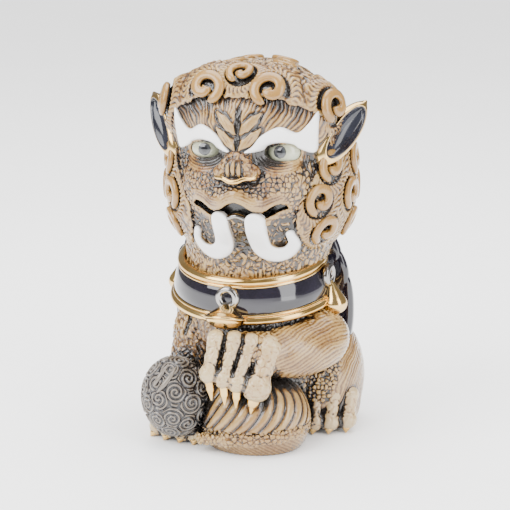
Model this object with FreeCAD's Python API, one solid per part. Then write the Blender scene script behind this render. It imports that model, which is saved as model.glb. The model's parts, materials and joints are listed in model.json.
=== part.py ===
"""Seated guardian lioness with her cub under one paw: a glazed ceramic figurine.

The figurine is made from hollow castings and applied pieces that are luted together before firing.
Millimetres. +Z up, the lioness looks along -Y, +X is her left. The pieces are modelled round the collar's
axis and then moved together, so that the origin ends up under the middle of the whole figurine.
"""
import FreeCAD, Part
import math
import os

Vector = FreeCAD.Vector

# Driving dimensions
WALL = 5.0              # thickness of the slip-cast shells
VENT_RADIUS = 1.6       # firing vent under the body
SIDES = 12              # points round one oval section
JOINT_Z = 80.0          # height where head and body castings meet
APPLIED = 2.4           # how far applied relief stands off the surface it sits on

# Body casting: height, centre x, centre y, half width, half depth
BODY_SECTIONS = [
    (0, 2, 18, 33, 29), (8, 2, 18, 35, 31), (25, 2, 17, 36.5, 32.5), (42, 2, 13, 37, 34),
    (58, 1, 6, 36.5, 35.5), (70, 0, 2.5, 33.5, 33.5), (JOINT_Z, 0, 1.5, 32.5, 32.5),
]
# Head casting, from the neck joint to the crown
HEAD_SECTIONS = [
    (JOINT_Z, 0, 1.5, 32.5, 32.5), (90, 1.5, 1.5, 34, 34.5), (102, 4, 1, 38, 39.5), (118, 4, 1, 40, 42),
    (134, 4, 1, 40, 42), (148, 4, 1, 37.5, 39.5), (160, 4, 1, 31, 32.5), (169, 4, 1, 20, 21.5),
    (173, 4, 1, 9, 10),
]
HEAD_X, HEAD_Y = 4.0, 1.0
FACE_GROWTH = 3.0       # face mask over the head casting

# Mane: an egg, fuller below than above
MANE_Z, MANE_UP, MANE_DOWN = 120.0, 58.0, 36.0
MANE_HALF_WIDTH, MANE_HALF_DEPTH = 45.5, 46.0
MANE_UP_POWER, MANE_DOWN_POWER = 2.2, 2.5

# Mane curls in level rings: height, first bearing from the face, curls in the ring, curl radius.
# A ring runs from its first bearing round the back to the same bearing on her other side.
CURL_RINGS = [
    (103, 60, 8, 6.8), (118, 52, 9, 6.8), (133, 62, 8, 6.8), (148, 100, 5, 6.8), (163, 94, 6, 6.4),
    (176, 0, 5, 5.4),
]
# Curls over the forehead: they follow the hairline, which drops towards the ears
HAIRLINE_TOP, HAIRLINE_DROP = 171.0, 20.0
HAIRLINE_BEARINGS = (-60, -20, 20, 60)
HAIRLINE_CURL = 7.4
CURL_TURNS = 1.45
CURL_RIBBON = 0.44      # ribbon width over the curl's radius

# Collar: a round band that hangs lower in front; its axis is the modelling axis until the end
COLLAR_Z, COLLAR_TILT = 76.5, 10.0
COLLAR_RADIUS, COLLAR_DEPTH_SHARE = 36.6, 0.99
COLLAR_FLARE = 1.8      # the lower edge's radius over the middle's, and the middle's over the upper edge's
BAND_HALF = 7.0
PIPING = 1.8
RING_BEARINGS = {"front": -3.0, "left": 84.0, "right": -104.0}
RING_UP = 2.0           # the rings sit a little above the band's middle
BELL_LENGTHS = {"front": 11.4, "left": 16.0, "right": 16.0}

OUTERMOST = ("left_ear", "right_ear", "mane", "cub_head", "left_haunch", "right_haunch", "left_bell", "right_bell",
             "left_fore_claws", "left_fore_toes", "nose", "back_mane", "tail")


def oval(z, x, y, half_width, half_depth, grow=0.0):
    """Closed smooth curve round (x, y) at height z."""
    points = []
    for k in range(SIDES):
        a = 2 * math.pi * k / SIDES
        across = (half_width + grow) * math.cos(a)
        along = (half_depth + grow) * math.sin(a)
        points.append(Vector(x + across, y + along, z))
    curve = Part.BSplineCurve()
    curve.interpolate(points, PeriodicFlag=True)
    return Part.Wire(curve.toShape())


def lofted(sections, grow=0.0):
    return Part.makeLoft([oval(*s, grow=grow) for s in sections], True)


def ellipsoid(centre, radii, turn=(0, 0, 0)):
    """Ellipsoid with its half axes along X, Y and Z, turned by yaw, pitch and roll in degrees."""
    ball = Part.makeSphere(10)
    stretch = FreeCAD.Matrix()
    stretch.scale(Vector(*[r / 10.0 for r in radii]))
    solid = ball.transformGeometry(stretch)
    solid.Placement = FreeCAD.Placement(Vector(*centre), FreeCAD.Rotation(*turn))
    return solid


def limb(stations):
    """Tapering limb through (x, y, z, radius) stations, closed by a rounded end at each."""
    points = [Vector(*s[:3]) for s in stations]
    radii = [s[3] for s in stations]
    heading = [points[min(k + 1, len(points) - 1)] - points[max(k - 1, 0)] for k in range(len(points))]
    for along in heading:
        along.normalize()
    rings = []
    for angle in (84, 62, 34):
        a = math.radians(angle)
        before = points[0] - heading[0] * (radii[0] * math.sin(a))
        rings.append((before, heading[0], radii[0] * math.cos(a)))
    rings += list(zip(points, heading, radii))
    for angle in (34, 62, 84):
        a = math.radians(angle)
        after = points[-1] + heading[-1] * (radii[-1] * math.sin(a))
        rings.append((after, heading[-1], radii[-1] * math.cos(a)))
    side = heading[0].cross(Vector(0.3, 0.1, 1))
    wires = []
    for centre, along, radius in rings:
        side = side - along * side.dot(along)
        side.normalize()
        other = along.cross(side)
        loop = []
        for k in range(SIDES):
            a = 2 * math.pi * k / SIDES
            loop.append(centre + side * (radius * math.cos(a)) + other * (radius * math.sin(a)))
        curve = Part.BSplineCurve()
        curve.interpolate(loop, PeriodicFlag=True)
        wires.append(Part.Wire(curve.toShape()))
    return Part.makeLoft(wires, True)


def turned(profile, start, end):
    """Solid turned about the line from start to end. The profile lists (share of the length, radius)."""
    start, end = Vector(*start), Vector(*end)
    length = (end - start).Length
    outline = Part.BSplineCurve()
    outline.interpolate([Vector(share * length, radius, 0) for share, radius in profile])
    first, last = profile[0][0] * length, profile[-1][0] * length
    edges = [outline.toShape()]
    if profile[-1][1] > 1e-6:
        edges.append(Part.makeLine((last, profile[-1][1], 0), (last, 0, 0)))
    edges.append(Part.makeLine((last, 0, 0), (first, 0, 0)))
    if profile[0][1] > 1e-6:
        edges.append(Part.makeLine((first, 0, 0), (first, profile[0][1], 0)))
    solid = Part.Face(Part.Wire(edges)).revolve(Vector(), Vector(1, 0, 0), 360)
    turn = FreeCAD.Rotation(Vector(1, 0, 0), end - start)
    solid.Placement = FreeCAD.Placement(start, turn)
    return solid


def half_space(low, high):
    low, high = Vector(*low), Vector(*high)
    return Part.makeBox(high.x - low.x, high.y - low.y, high.z - low.z, low)


GROUND = half_space((-90, -90, -60), (90, 90, 0))


def less(solid, *others):
    """What is left of a piece once its neighbours have taken their room, without loose crumbs."""
    for other in others:
        if solid.BoundBox.intersect(other.BoundBox):
            solid = solid.cut(other)
    kept = sorted(solid.Solids, key=lambda s: -s.Volume)
    return Part.Compound([s for s in kept if s.Volume > 0.02 * kept[0].Volume]) if len(kept) > 1 else kept[0]


def largest(solid):
    return max(solid.Solids, key=lambda s: s.Volume)


# Mane egg ---------------------------------------------------------------------------------------

def mane_radius(z, grow=0.0):
    """Half width of the mane's egg at height z, as a share of its greatest half width."""
    up = z >= MANE_Z
    reach, power = (MANE_UP, MANE_UP_POWER) if up else (MANE_DOWN, MANE_DOWN_POWER)
    share = min(1.0, abs(z - MANE_Z) / (reach + grow))
    return max(0.0, 1 - share ** power) ** (1 / power)


def mane_point(bearing, z):
    """Point on the mane and the outward direction there; bearing 0 is straight ahead of the face."""
    a = math.radians(bearing)

    def at(a, z):
        r = mane_radius(z)
        across = MANE_HALF_WIDTH * r * math.sin(a)
        ahead = MANE_HALF_DEPTH * r * math.cos(a)
        return Vector(HEAD_X + across, HEAD_Y - ahead, z)

    round_it = at(a + 0.01, z) - at(a - 0.01, z)
    down_it = at(a, z - 0.1) - at(a, z + 0.1)
    outward = round_it.cross(down_it)
    outward.normalize()
    if outward.dot(at(a, z) - Vector(HEAD_X, HEAD_Y, MANE_Z)) < 0:
        outward = -outward
    return at(a, z), outward


def mane_egg(grow=0.0):
    """The mane's egg as a turned solid, wider front to back than side to side."""
    steps = 12
    points = []
    for k in range(steps + 1):
        t = k / steps * math.pi
        z = MANE_Z + (MANE_UP if t < math.pi / 2 else MANE_DOWN) * math.cos(t)
        points.append(Vector(MANE_HALF_WIDTH * mane_radius(z), 0, z))
    points[0].x = points[-1].x = 0
    curve = Part.BSplineCurve()
    curve.interpolate(points)
    axis = Part.makeLine(points[-1], points[0])
    egg = Part.Face(Part.Wire([curve.toShape(), axis])).revolve(Vector(), Vector(0, 0, 1), 360)
    stretch = FreeCAD.Matrix()
    stretch.scale(Vector(1, MANE_HALF_DEPTH / MANE_HALF_WIDTH, 1))
    egg = egg.transformGeometry(stretch)
    egg.translate(Vector(HEAD_X, HEAD_Y, 0))
    return Part.Solid(egg.Shells[0])


def straight_prism(points, from_y=-70.0, to_y=-8.0, x=HEAD_X):
    """Prism along Y through a closed outline of (x, z) points joined by straight lines."""
    corners = [Vector(x + px, from_y, pz) for px, pz in points]
    return Part.Face(Part.makePolygon(corners + corners[:1])).extrude(Vector(0, to_y - from_y, 0))


def outline_prism(points, from_y=-70.0, to_y=-8.0, x=HEAD_X):
    """Prism along Y through a smooth closed outline of (x, z) points."""
    curve = Part.BSplineCurve()
    curve.interpolate([Vector(x + px, from_y, pz) for px, pz in points], PeriodicFlag=True)
    return Part.Face(Part.Wire(curve.toShape())).extrude(Vector(0, to_y - from_y, 0))


def mirrored(points):
    return [(-x, z) for x, z in points]


def beard_ribbon():
    """Stations (x, z, width) of her left beard ribbon."""
    x, z = BEARD_CENTRE
    stations = [BEARD_STEM]
    for k, width in enumerate(BEARD_WIDTHS):
        a = math.radians(180 + BEARD_STEP * k)
        stations.append((x + BEARD_HOOK * math.cos(a), z + BEARD_HOOK * math.sin(a), width))
    return stations


def curl_places():
    """Bearing, height, radius and hand of every mane curl; the hands mirror across the face."""
    places = []
    for bearing in HAIRLINE_BEARINGS:
        drop = HAIRLINE_DROP * (1 - math.cos(math.radians(bearing)))
        places.append((bearing, HAIRLINE_TOP - drop, HAIRLINE_CURL))
    for height, first, count, radius in CURL_RINGS:
        step = (360 - 2 * first) / (count - 1 if first else count)
        places += [(first + k * step, height, radius) for k in range(count)]
    return [(b, z, radius, 1 if b % 360 <= 180 else -1) for b, z, radius in places]


def ribbon(centreline):
    """Outline of a ribbon from (x, z, width) stations, with round ends."""
    left, right = [], []
    for k, (x, z, width) in enumerate(centreline):
        before, after = centreline[max(k - 1, 0)], centreline[min(k + 1, len(centreline) - 1)]
        dx, dz = after[0] - before[0], after[1] - before[1]
        size = math.hypot(dx, dz)
        nx, nz = -dz / size * width / 2, dx / size * width / 2
        left.append((x + nx, z + nz))
        right.append((x - nx, z - nz))
    return left + right[::-1]


def curl(bearing, z, radius, hand):
    """Spiral ribbon lying on the mane, its outer end at the foot and its inner end in the eye."""
    centre, outward = mane_point(bearing, z)
    width = CURL_RIBBON * radius
    steps = 16
    outer, inner = [], []
    for k in range(steps + 1):
        t = k / steps
        angle = -hand * (2 * math.pi * CURL_TURNS * t) - math.pi / 2
        middle = radius * (1 - 0.74 * t ** 0.85) - width / 2 * (1 - 0.3 * t)
        half = width / 2 * (1 - 0.25 * t)
        for edge, offset in ((outer, half), (inner, -half)):
            reach = max(middle + offset, 0.15)
            edge.append(Vector(reach * math.cos(angle), reach * math.sin(angle), 0))
    sides = []
    for edge in (outer, inner):
        curve = Part.BSplineCurve()
        curve.interpolate(edge)
        sides.append(curve.toShape())
    ends = [Part.makeLine(outer[-1], inner[-1]), Part.makeLine(inner[0], outer[0])]
    face = Part.Face(Part.Wire(Part.__sortEdges__(sides + ends)))
    solid = face.extrude(Vector(0, 0, APPLIED + 1.2))
    upright = Vector(0, 0, 1) - outward * outward.z
    upright.normalize()
    across = upright.cross(outward)
    frame = FreeCAD.Matrix(across.x, upright.x, outward.x, centre.x, across.y, upright.y, outward.y, centre.y,
                           across.z, upright.z, outward.z, centre.z, 0, 0, 0, 1)
    solid.Placement = FreeCAD.Placement(frame)
    solid.translate(outward * -1.6)
    return solid


# Castings ---------------------------------------------------------------------------------------

def castings():
    """Body and head shells with their solid outsides, which the applied pieces are fitted to."""
    body_outer = lofted(BODY_SECTIONS)
    body_room = lofted([(WALL, *BODY_SECTIONS[1][1:])] + BODY_SECTIONS[2:], grow=-WALL)
    vent = Part.makeCylinder(VENT_RADIUS, 3 * WALL, Vector(0, 20, -WALL))
    head_outer = lofted(HEAD_SECTIONS)
    head_room = lofted(HEAD_SECTIONS[:-1], grow=-WALL)
    return {
        "body_shell": largest(body_outer.cut(body_room).cut(vent)),
        "head_shell": largest(head_outer.cut(head_room)),
    }, body_outer, head_outer


# Half outlines of the mane's window and of the face mask, from the top to the bottom of her left side
WINDOW_TOP, WINDOW_SIDE = 167.5, [(19, 166.5), (33, 163.5), (36.5, 150), (34.5, 135), (29, 120), (25, 106),
                                  (22, 92), (18, 70)]
FACE_TOP, FACE_FOOT = 166.0, 89.0
FACE_SIDE = [(18, 165), (31, 162.5), (35, 150), (33, 135), (27, 120), (23, 106), (15, 93)]
BROW = [
    (2.4, 138.5), (10, 141.2), (15.2, 145.6), (20.5, 146.4), (25.2, 142.6), (31.2, 140), (33.4, 150),
    (32.8, 160.5), (27.6, 154.8), (21.4, 153.8), (15.2, 153.6), (10.7, 150), (6.7, 144),
]
# Beard ribbon: a stem beside the chin, then a hook turned outward and up round its own centre
BEARD_STEM = (7.4, 112.0, 9.6)
BEARD_CENTRE, BEARD_HOOK = (15.4, 101.0), 7.5
BEARD_WIDTHS = (8.8, 8.6, 8.0, 6.4, 4.8, 3.6)
BEARD_STEP = 42.0       # degrees of the hook between two widths
CREST = [
    (0, 139.5), (6.5, 145), (9.5, 153), (7.5, 160), (3.5, 158), (0, 150), (-3.5, 158), (-7.5, 160),
    (-9.5, 153), (-6.5, 145),
]
EYE_X, EYE_Y, EYE_Z, EYE_RADIUS = 18.2, -33.0, 141.0, 7.5
MUZZLE = ((HEAD_X, -36.0, 122.5), (23, 12, 15.5))
NOSE = ((HEAD_X, -45.0, 135.0), (9.5, 6.0, 6.5))
LIP_LINE = [(-19, -39.5, 120.5), (-10, -46.5, 116), (0, -48.5, 119.5), (10, -46.5, 116), (19, -39.5, 120.5)]


def tube(points, radius, x=0.0):
    """Round bar along a smooth path, with flat ends."""
    path = Part.BSplineCurve()
    path.interpolate([Vector(px + x, py, pz) for px, py, pz in points])
    edge = path.toShape()
    start = edge.tangentAt(edge.FirstParameter)
    circle = Part.Wire(Part.makeCircle(radius, edge.valueAt(edge.FirstParameter), start))
    return Part.Wire(edge).makePipeShell([circle], True, True)


def head_pieces(head_outer):
    """Mane, face and everything set on them."""
    pieces = {}
    window = straight_prism([(0, WINDOW_TOP)] + WINDOW_SIDE + mirrored(WINDOW_SIDE)[::-1])
    face_edge = [(0, FACE_TOP)] + FACE_SIDE + [(0, FACE_FOOT)] + mirrored(FACE_SIDE)[::-1]
    egg = mane_egg()
    mane = largest(egg.cut(window).cut(head_outer))
    pieces["mane"] = mane
    skin_sections = [(s[0] + (FACE_GROWTH if s[0] > 170 else 0), *s[1:]) for s in HEAD_SECTIONS]
    skin = lofted(skin_sections, grow=FACE_GROWTH)
    over_skin = lofted([(s[0] + (6 if s[0] > 170 else 0), *s[1:]) for s in HEAD_SECTIONS],
                       grow=FACE_GROWTH + APPLIED)
    mask = skin.common(outline_prism(face_edge)).cut(head_outer)
    muzzle = ellipsoid(*MUZZLE).cut(head_outer)
    mask = largest(mask.fuse(muzzle))
    mouth = tube(LIP_LINE, 1.3, HEAD_X)
    lip_path = [(x, y + 0.2, z - 2.3) for x, y, z in LIP_LINE]
    lip = tube(lip_path, 1.25, HEAD_X)
    nose = ellipsoid(*NOSE)
    relief = over_skin.cut(skin)
    for name, side in (("left", 1), ("right", -1)):
        eye_at = (HEAD_X + side * EYE_X, EYE_Y, EYE_Z)
        eye = Part.makeSphere(EYE_RADIUS, Vector(*eye_at))
        eye = eye.cut(head_outer)
        brow_outline = BROW if side > 0 else mirrored(BROW)
        brow = relief.common(outline_prism(brow_outline)).cut(Part.makeSphere(EYE_RADIUS, Vector(*eye_at)))
        beard_outline = ribbon(beard_ribbon())
        beard_outline = beard_outline if side > 0 else mirrored(beard_outline)
        pieces[name + "_brow"] = largest(brow)
        pieces[name + "_eye"] = largest(eye)
        beard_skin = over_skin.cut(head_outer)
        pieces[name + "_beard_curl"] = largest(
            less(beard_skin.common(outline_prism(beard_outline)), mask, lip, mouth))
        mask = largest(mask.cut(Part.makeSphere(EYE_RADIUS, Vector(*eye_at))))
    mask = largest(less(mask, mouth, lip, nose))
    crest = relief.common(outline_prism(CREST))
    crest = largest(less(crest, nose, pieces["left_brow"], pieces["right_brow"]))
    pieces["face_mask"] = mask
    pieces["forehead_crest"] = crest
    pieces["lower_lip"] = largest(lip)
    pieces["nose"] = largest(less(nose, head_outer))
    curls = [largest(curl(*row).cut(egg)) for row in curl_places()]
    pieces["mane_curls"] = Part.Compound(curls)
    return pieces, egg


def ear(side, egg):
    """Leaf-shaped ear with a scooped front, pointing up and outward from the side of the head."""
    root = Vector(HEAD_X + side * 33, -21, 136)
    tip = Vector(HEAD_X + side * 48, 0, 158.5)
    middle = (root + tip) * 0.5
    along = tip - root
    turn = FreeCAD.Rotation(Vector(0, 0, 1), along)
    leaf = ellipsoid((0, 0, 0), (8.0, 5.5, along.Length / 2 + 1))
    scoop = ellipsoid((side * 2.0, -4.0, 0), (5.4, 5.0, along.Length / 2 - 4))
    solid = leaf.cut(scoop)
    solid.Placement = FreeCAD.Placement(middle, turn)
    return largest(less(solid, egg))


# Collar -----------------------------------------------------------------------------------------

def tilted(solid):
    """Moves a ring made round Z to where the collar sits, lower in front."""
    stretch = FreeCAD.Matrix()
    stretch.scale(Vector(1, COLLAR_DEPTH_SHARE, 1))
    solid = solid.transformGeometry(stretch)
    solid.rotate(Vector(), Vector(1, 0, 0), COLLAR_TILT)
    solid.translate(Vector(0, 1.5, COLLAR_Z))
    return solid


def collar_place(bearing, up, out=0.0):
    """Point on the collar: bearing from the front, height within the band, distance outside it."""
    a = math.radians(bearing)
    reach = COLLAR_RADIUS + out - COLLAR_FLARE * up / BAND_HALF
    flat = Vector(reach * math.sin(a), -reach * COLLAR_DEPTH_SHARE * math.cos(a), up)
    turn = FreeCAD.Rotation(Vector(1, 0, 0), COLLAR_TILT)
    return turn.multVec(flat) + Vector(0, 1.5, COLLAR_Z)


def collar_pieces(inside):
    """Band, its two pipings, three rings and three bells."""
    pieces = {}
    top, bottom = COLLAR_RADIUS - COLLAR_FLARE - 0.4, COLLAR_RADIUS + COLLAR_FLARE - 0.4
    low, high = Vector(bottom, 0, -BAND_HALF), Vector(top, 0, BAND_HALF)
    bulge = Part.Arc(low, Vector(COLLAR_RADIUS + 0.9, 0, 0), high)
    inner = COLLAR_RADIUS - 9
    sides = [Part.makeLine((top, 0, BAND_HALF), (inner, 0, BAND_HALF)),
             Part.makeLine((inner, 0, BAND_HALF), (inner, 0, -BAND_HALF)),
             Part.makeLine((inner, 0, -BAND_HALF), (bottom, 0, -BAND_HALF))]
    face = Part.Face(Part.Wire([bulge.toShape()] + sides))
    band = tilted(face.revolve(Vector(), Vector(0, 0, 1), 360))
    pipings = {}
    for name, side in (("upper", 1), ("lower", -1)):
        reach = COLLAR_RADIUS - side * COLLAR_FLARE - 0.6
        pipings[name] = tilted(Part.makeTorus(reach, PIPING, Vector(0, 0, side * (BAND_HALF + PIPING))))
    rings, bells = {}, {}
    for name, bearing in RING_BEARINGS.items():
        a = math.radians(bearing)
        outward = Vector(math.sin(a), -math.cos(a), 0)
        at = collar_place(bearing, RING_UP, 1.4)
        ring = Part.makeTorus(4.0, 1.6, at, outward)
        ring = ring.fuse(Part.makeCylinder(4.0, 1.6, at - outward * 1.2, outward))
        rings[name] = ring
        hang = at + outward * 1.6 + Vector(0, 0, -2.6)
        foot = hang + outward * (3.4 if name == "front" else 3.0) + Vector(0, 0, -BELL_LENGTHS[name])
        shape = [(0, 0.6), (0.14, 1.8), (0.36, 3.9), (0.64, 5.9), (0.83, 5.2), (0.95, 3.0), (1.0, 0.0)]
        if name == "front":
            shape = [(0, 0.8), (0.14, 3.0), (0.32, 6.6), (0.5, 9.0), (0.6, 9.2), (0.82, 7.4), (0.95, 3.8),
                     (1.0, 0)]
        bells[name] = turned(shape, tuple(hang), tuple(foot))
    all_bells = list(bells.values())
    all_rings = list(rings.values())
    for name in RING_BEARINGS:
        pieces[name + "_bell"] = largest(less(bells[name], *inside))
        pieces[name + "_bell_ring"] = largest(less(rings[name], *inside, *all_bells))
    pieces["collar_band"] = largest(less(band, *inside, *all_rings, *all_bells))
    for name, piping in pipings.items():
        pieces["collar_%s_piping" % name] = largest(less(piping, *inside, band, *all_rings, *all_bells))
    return pieces, [band, *pipings.values(), *all_rings, *all_bells]


# Legs, paws and cub -----------------------------------------------------------------------------

TOE_PROFILE = [(0, 0.5), (0.12, 0.82), (0.3, 1.0), (0.52, 0.74), (0.78, 1.0), (0.93, 0.78), (1.0, 0.0)]
CLAW_PROFILE = [(0, 1.0), (0.35, 0.86), (0.75, 0.42), (1.0, 0.1)]

# Each toe: knuckle end, pad end, claw tip, thickness
LEFT_FORE_TOES = [
    ((-4.6, -44.5, 54.6), (-6.3, -51.6, 39.3), (-4.8, -52.0, 27.6), 3.5),
    ((3.4, -43.0, 54.2), (0.4, -50.4, 37.2), (1.2, -51.0, 25.4), 3.6),
    ((10.8, -41.0, 52.8), (6.6, -49.2, 35.4), (6.2, -50.0, 24.2), 3.7),
    ((18.4, -38.0, 49.5), (14.8, -46.4, 32.4), (12.6, -47.8, 21.4), 5.4),
]
RIGHT_FORE_TOES = [
    ((-35.5, -23.0, 9.0), (-39.6, -28.2, 4.6), (-41.8, -31.2, 0.2), 3.3),
    ((-30.5, -26.0, 9.5), (-32.6, -32.0, 4.6), (-34.0, -35.2, 0.2), 3.4),
    ((-24.5, -27.5, 9.5), (-25.2, -33.8, 4.6), (-25.8, -37.2, 0.2), 3.4),
    ((-18.5, -28.0, 9.0), (-18.4, -34.6, 4.6), (-18.4, -38.2, 0.2), 3.3),
]
LEFT_HIND_TOES = [
    ((25.0, -2.0, 18.0), (24.6, -6.6, 5.2), (24.4, -8.8, 0.2), 3.6),
    ((32.0, -0.5, 19.0), (31.7, -5.0, 5.2), (31.6, -7.2, 0.2), 3.8),
    ((39.2, 1.5, 18.5), (39.0, -3.0, 5.2), (38.9, -5.2, 0.2), 3.8),
    ((46.2, 6.5, 17.0), (46.2, 1.8, 5.2), (46.3, -0.4, 0.2), 3.8),
]
RIGHT_HIND_TOES = [
    ((-43.5 + 8.0 * k, 13.5 - 3.4 * k, 16.0), (-45.0 + 8.0 * k, 6.4 - 3.4 * k, 4.6),
     (-45.6 + 8.0 * k, 3.2 - 3.4 * k, 0.2), 3.3) for k in range(3)
]
LEFT_UPPER_ARM = ((33.0, -7.5, 50.0), (15.5, 13.5, 12.0))
# The forearm and the paw are turned so that the seams of the three surfaces stay clear of each other
LEFT_FOREARM = ((27.0, -24.5, 46.0), (12.0, 25.0, 12.5), (131, 0, 0))
LEFT_PAW = ((8, -38.5, 48.5), (14.5, 7.5, 8.5), (180, 0, 0))
RIGHT_FORELEG = [(-20, -8, 62, 13), (-22, -14, 50, 12.2), (-25, -19, 34, 10.5), (-27, -20, 12, 10)]
CUB_HEAD = ((-27.5, -35.0, 22.5), (16.4, 16.0, 20.2), (0, 0, 12))
CUB_BODY = ((8.5, -25.5, 12.5), (26.0, 23.5, 23.0), (0, 0, 0))
CUB_EAR_LEAVES = [
    ((-31.0, -49.0, 29.0), (1.8, 3.2, 7.8), (0, 8, 14)),
    ((-26.4, -49.0, 28.5), (1.8, 3.2, 7.8), (0, 20, 14)),
]
CUB_SPINE = [(-12, -44.6, 6.0, 2.6), (0, -47.6, 7.4, 2.8), (12, -48.0, 8.6, 3.0), (24, -43.2, 9.8, 2.8),
             (32, -34.5, 10.6, 2.4)]


def toes_and_claws(rows, avoid):
    """One group of toes and one of claws; each claw is seated in the end of its toe."""
    toes, claws = [], []
    for knuckle, pad, tip, thick in rows:
        toe = turned([(share, radius * thick) for share, radius in TOE_PROFILE], knuckle, pad)
        start = Vector(*knuckle) + (Vector(*pad) - Vector(*knuckle)) * 0.84
        claw = turned([(share, radius * thick * 0.78) for share, radius in CLAW_PROFILE], tuple(start), tip)
        claw = claw.cut(toe)
        toe = less(toe, *avoid)
        claw = less(claw, *avoid)
        toes.append(largest(toe))
        claws.append(max(claw.Solids, key=lambda s: -s.CenterOfMass.z))
    for k in range(len(toes) - 1):
        toes[k] = largest(toes[k].cut(toes[k + 1]))
        claws[k] = largest(claws[k].cut(claws[k + 1]).cut(toes[k + 1]))
        claws[k + 1] = largest(claws[k + 1].cut(toes[k]))
    return Part.Compound(toes), Part.Compound(claws)


CAPE = ((0.5, 15.5, 58), (45.0, 32.0, 62.0), (0, 0, 14))
CAPE_FRONT, CAPE_HEM, CAPE_TOP = 14.0, 37.0, 105.0


def back_cape():
    """Smooth black mane down the back, from the neck to the rump."""
    return ellipsoid(*CAPE).common(half_space((-90, CAPE_FRONT, CAPE_HEM), (90, 90, CAPE_TOP)))


def tail():
    """Flame-shaped tail laid up the middle of the back."""
    return limb([(0, 44, 9, 7.5), (-3, 48, 22, 9), (-1, 50, 38, 8), (4, 49.5, 51, 5.5), (8, 48, 60, 2.6)])


def lower_pieces(body_outer, head_outer, collar):
    pieces = {}
    haunches = {
        "left": ellipsoid((32, 18, 23), (18, 24, 29)),
        "right": ellipsoid((-28, 20, 20), (15, 24, 27)),
    }
    foot_backs = {
        "left": ellipsoid((35.5, 13, 9), (13, 12, 12)),
        "right": ellipsoid((-35, 16, 7), (10, 13, 10)),
    }
    for side in haunches:
        haunches[side] = haunches[side].fuse(foot_backs[side]).removeSplitter().cut(GROUND)
    left_leg = ellipsoid(*LEFT_FOREARM).fuse([ellipsoid(*LEFT_UPPER_ARM), ellipsoid(*LEFT_PAW)])
    left_leg = left_leg.removeSplitter()
    right_leg = limb(RIGHT_FORELEG).fuse(ellipsoid((-27, -21, 5), (12, 9, 8))).removeSplitter()
    cub_head = ellipsoid(*CUB_HEAD)
    cub_body = ellipsoid(*CUB_BODY)
    cub_spine = limb(CUB_SPINE)
    cape = back_cape()
    tail_solid = tail()
    pieces["left_foreleg"] = largest(less(left_leg, body_outer, *collar, head_outer))
    right_leg = largest(less(right_leg, body_outer, *collar, head_outer, GROUND))
    pieces["right_foreleg"] = right_leg
    pieces["left_haunch"] = largest(less(haunches["left"], body_outer, left_leg))
    pieces["right_haunch"] = largest(less(haunches["right"], body_outer, right_leg))
    sets = (
        ("left_fore", LEFT_FORE_TOES, [left_leg, body_outer, *collar]),
        ("right_fore", RIGHT_FORE_TOES, [right_leg, body_outer, GROUND, haunches["right"]]),
        ("left_hind", LEFT_HIND_TOES, [haunches["left"], body_outer, GROUND, left_leg]),
        ("right_hind", RIGHT_HIND_TOES, [haunches["right"], body_outer, GROUND, right_leg]),
    )
    hands = []
    for name, rows, avoid in sets:
        toes, claws = toes_and_claws(rows, avoid)
        pieces[name + "_toes"], pieces[name + "_claws"] = toes, claws
        hands += toes.Solids + claws.Solids
    around = [body_outer, left_leg, right_leg, haunches["left"], haunches["right"], GROUND, *collar, *hands]
    head = largest(less(cub_head, *around))
    pieces["cub_head"] = head
    pieces["cub_body"] = largest(less(cub_body, *around, cub_head))
    pieces["cub_spine"] = largest(less(cub_spine, *around, cub_head, cub_body))
    leaves = []
    for leaf in CUB_EAR_LEAVES:
        leaves.append(largest(less(ellipsoid(*leaf), cub_head, *hands)))
    pieces["cub_ear"] = Part.Compound(leaves)
    back = less(cape, body_outer, head_outer, *collar, tail_solid, haunches["left"], haunches["right"])
    pieces["back_mane"] = largest(back)
    pieces["tail"] = largest(less(tail_solid, body_outer, GROUND, haunches["left"], haunches["right"]))
    return pieces


def build():
    pieces, body_outer, head_outer = castings()
    on_head, egg = head_pieces(head_outer)
    pieces.update(on_head)
    curls = on_head["mane_curls"]
    for name, side in (("left", 1), ("right", -1)):
        pieces[name + "_ear"] = largest(less(ear(side, egg), pieces["face_mask"], pieces[name + "_brow"]))
    ears = Part.Compound([pieces["left_ear"], pieces["right_ear"]])
    pieces["mane_curls"] = Part.Compound([largest(c.cut(ears)) for c in curls.Solids])
    on_collar, collar = collar_pieces([body_outer, head_outer, egg])
    pieces.update(on_collar)
    lower = lower_pieces(body_outer, head_outer, collar)
    lower["back_mane"] = largest(less(lower["back_mane"], egg))
    pieces.update(lower)
    return pieces


def footprint_centre(pieces):
    """Middle of the whole figurine seen from above, from the pieces that reach farthest out."""
    points = []
    for name in OUTERMOST:
        points += pieces[name].tessellate(0.1)[0]
    xs = [p.x for p in points]
    ys = [p.y for p in points]
    return Vector((min(xs) + max(xs)) / 2, (min(ys) + max(ys)) / 2, 0)


os.makedirs("parts", exist_ok=True)
built = build()
centre = footprint_centre(built)
for name, piece in built.items():
    piece.translate(-centre)
    facts = (name, len(piece.Solids), piece.Volume, piece.isValid())
    print("%-22s solids %2d volume %9.1f valid %s" % facts)
    piece.exportStep("parts/%s.step" % name)
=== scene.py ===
"""Glazed ceramic guardian lioness with her cub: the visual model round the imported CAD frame.

Every furred piece is sculpted as a signed distance field on a grid, engraved, and meshed. Sizes are in
millimetres in the modelling axes: the collar's axis is X = Y = 0, the ground is Z = 0, she looks along -Y.
"""
import json
import math

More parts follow.
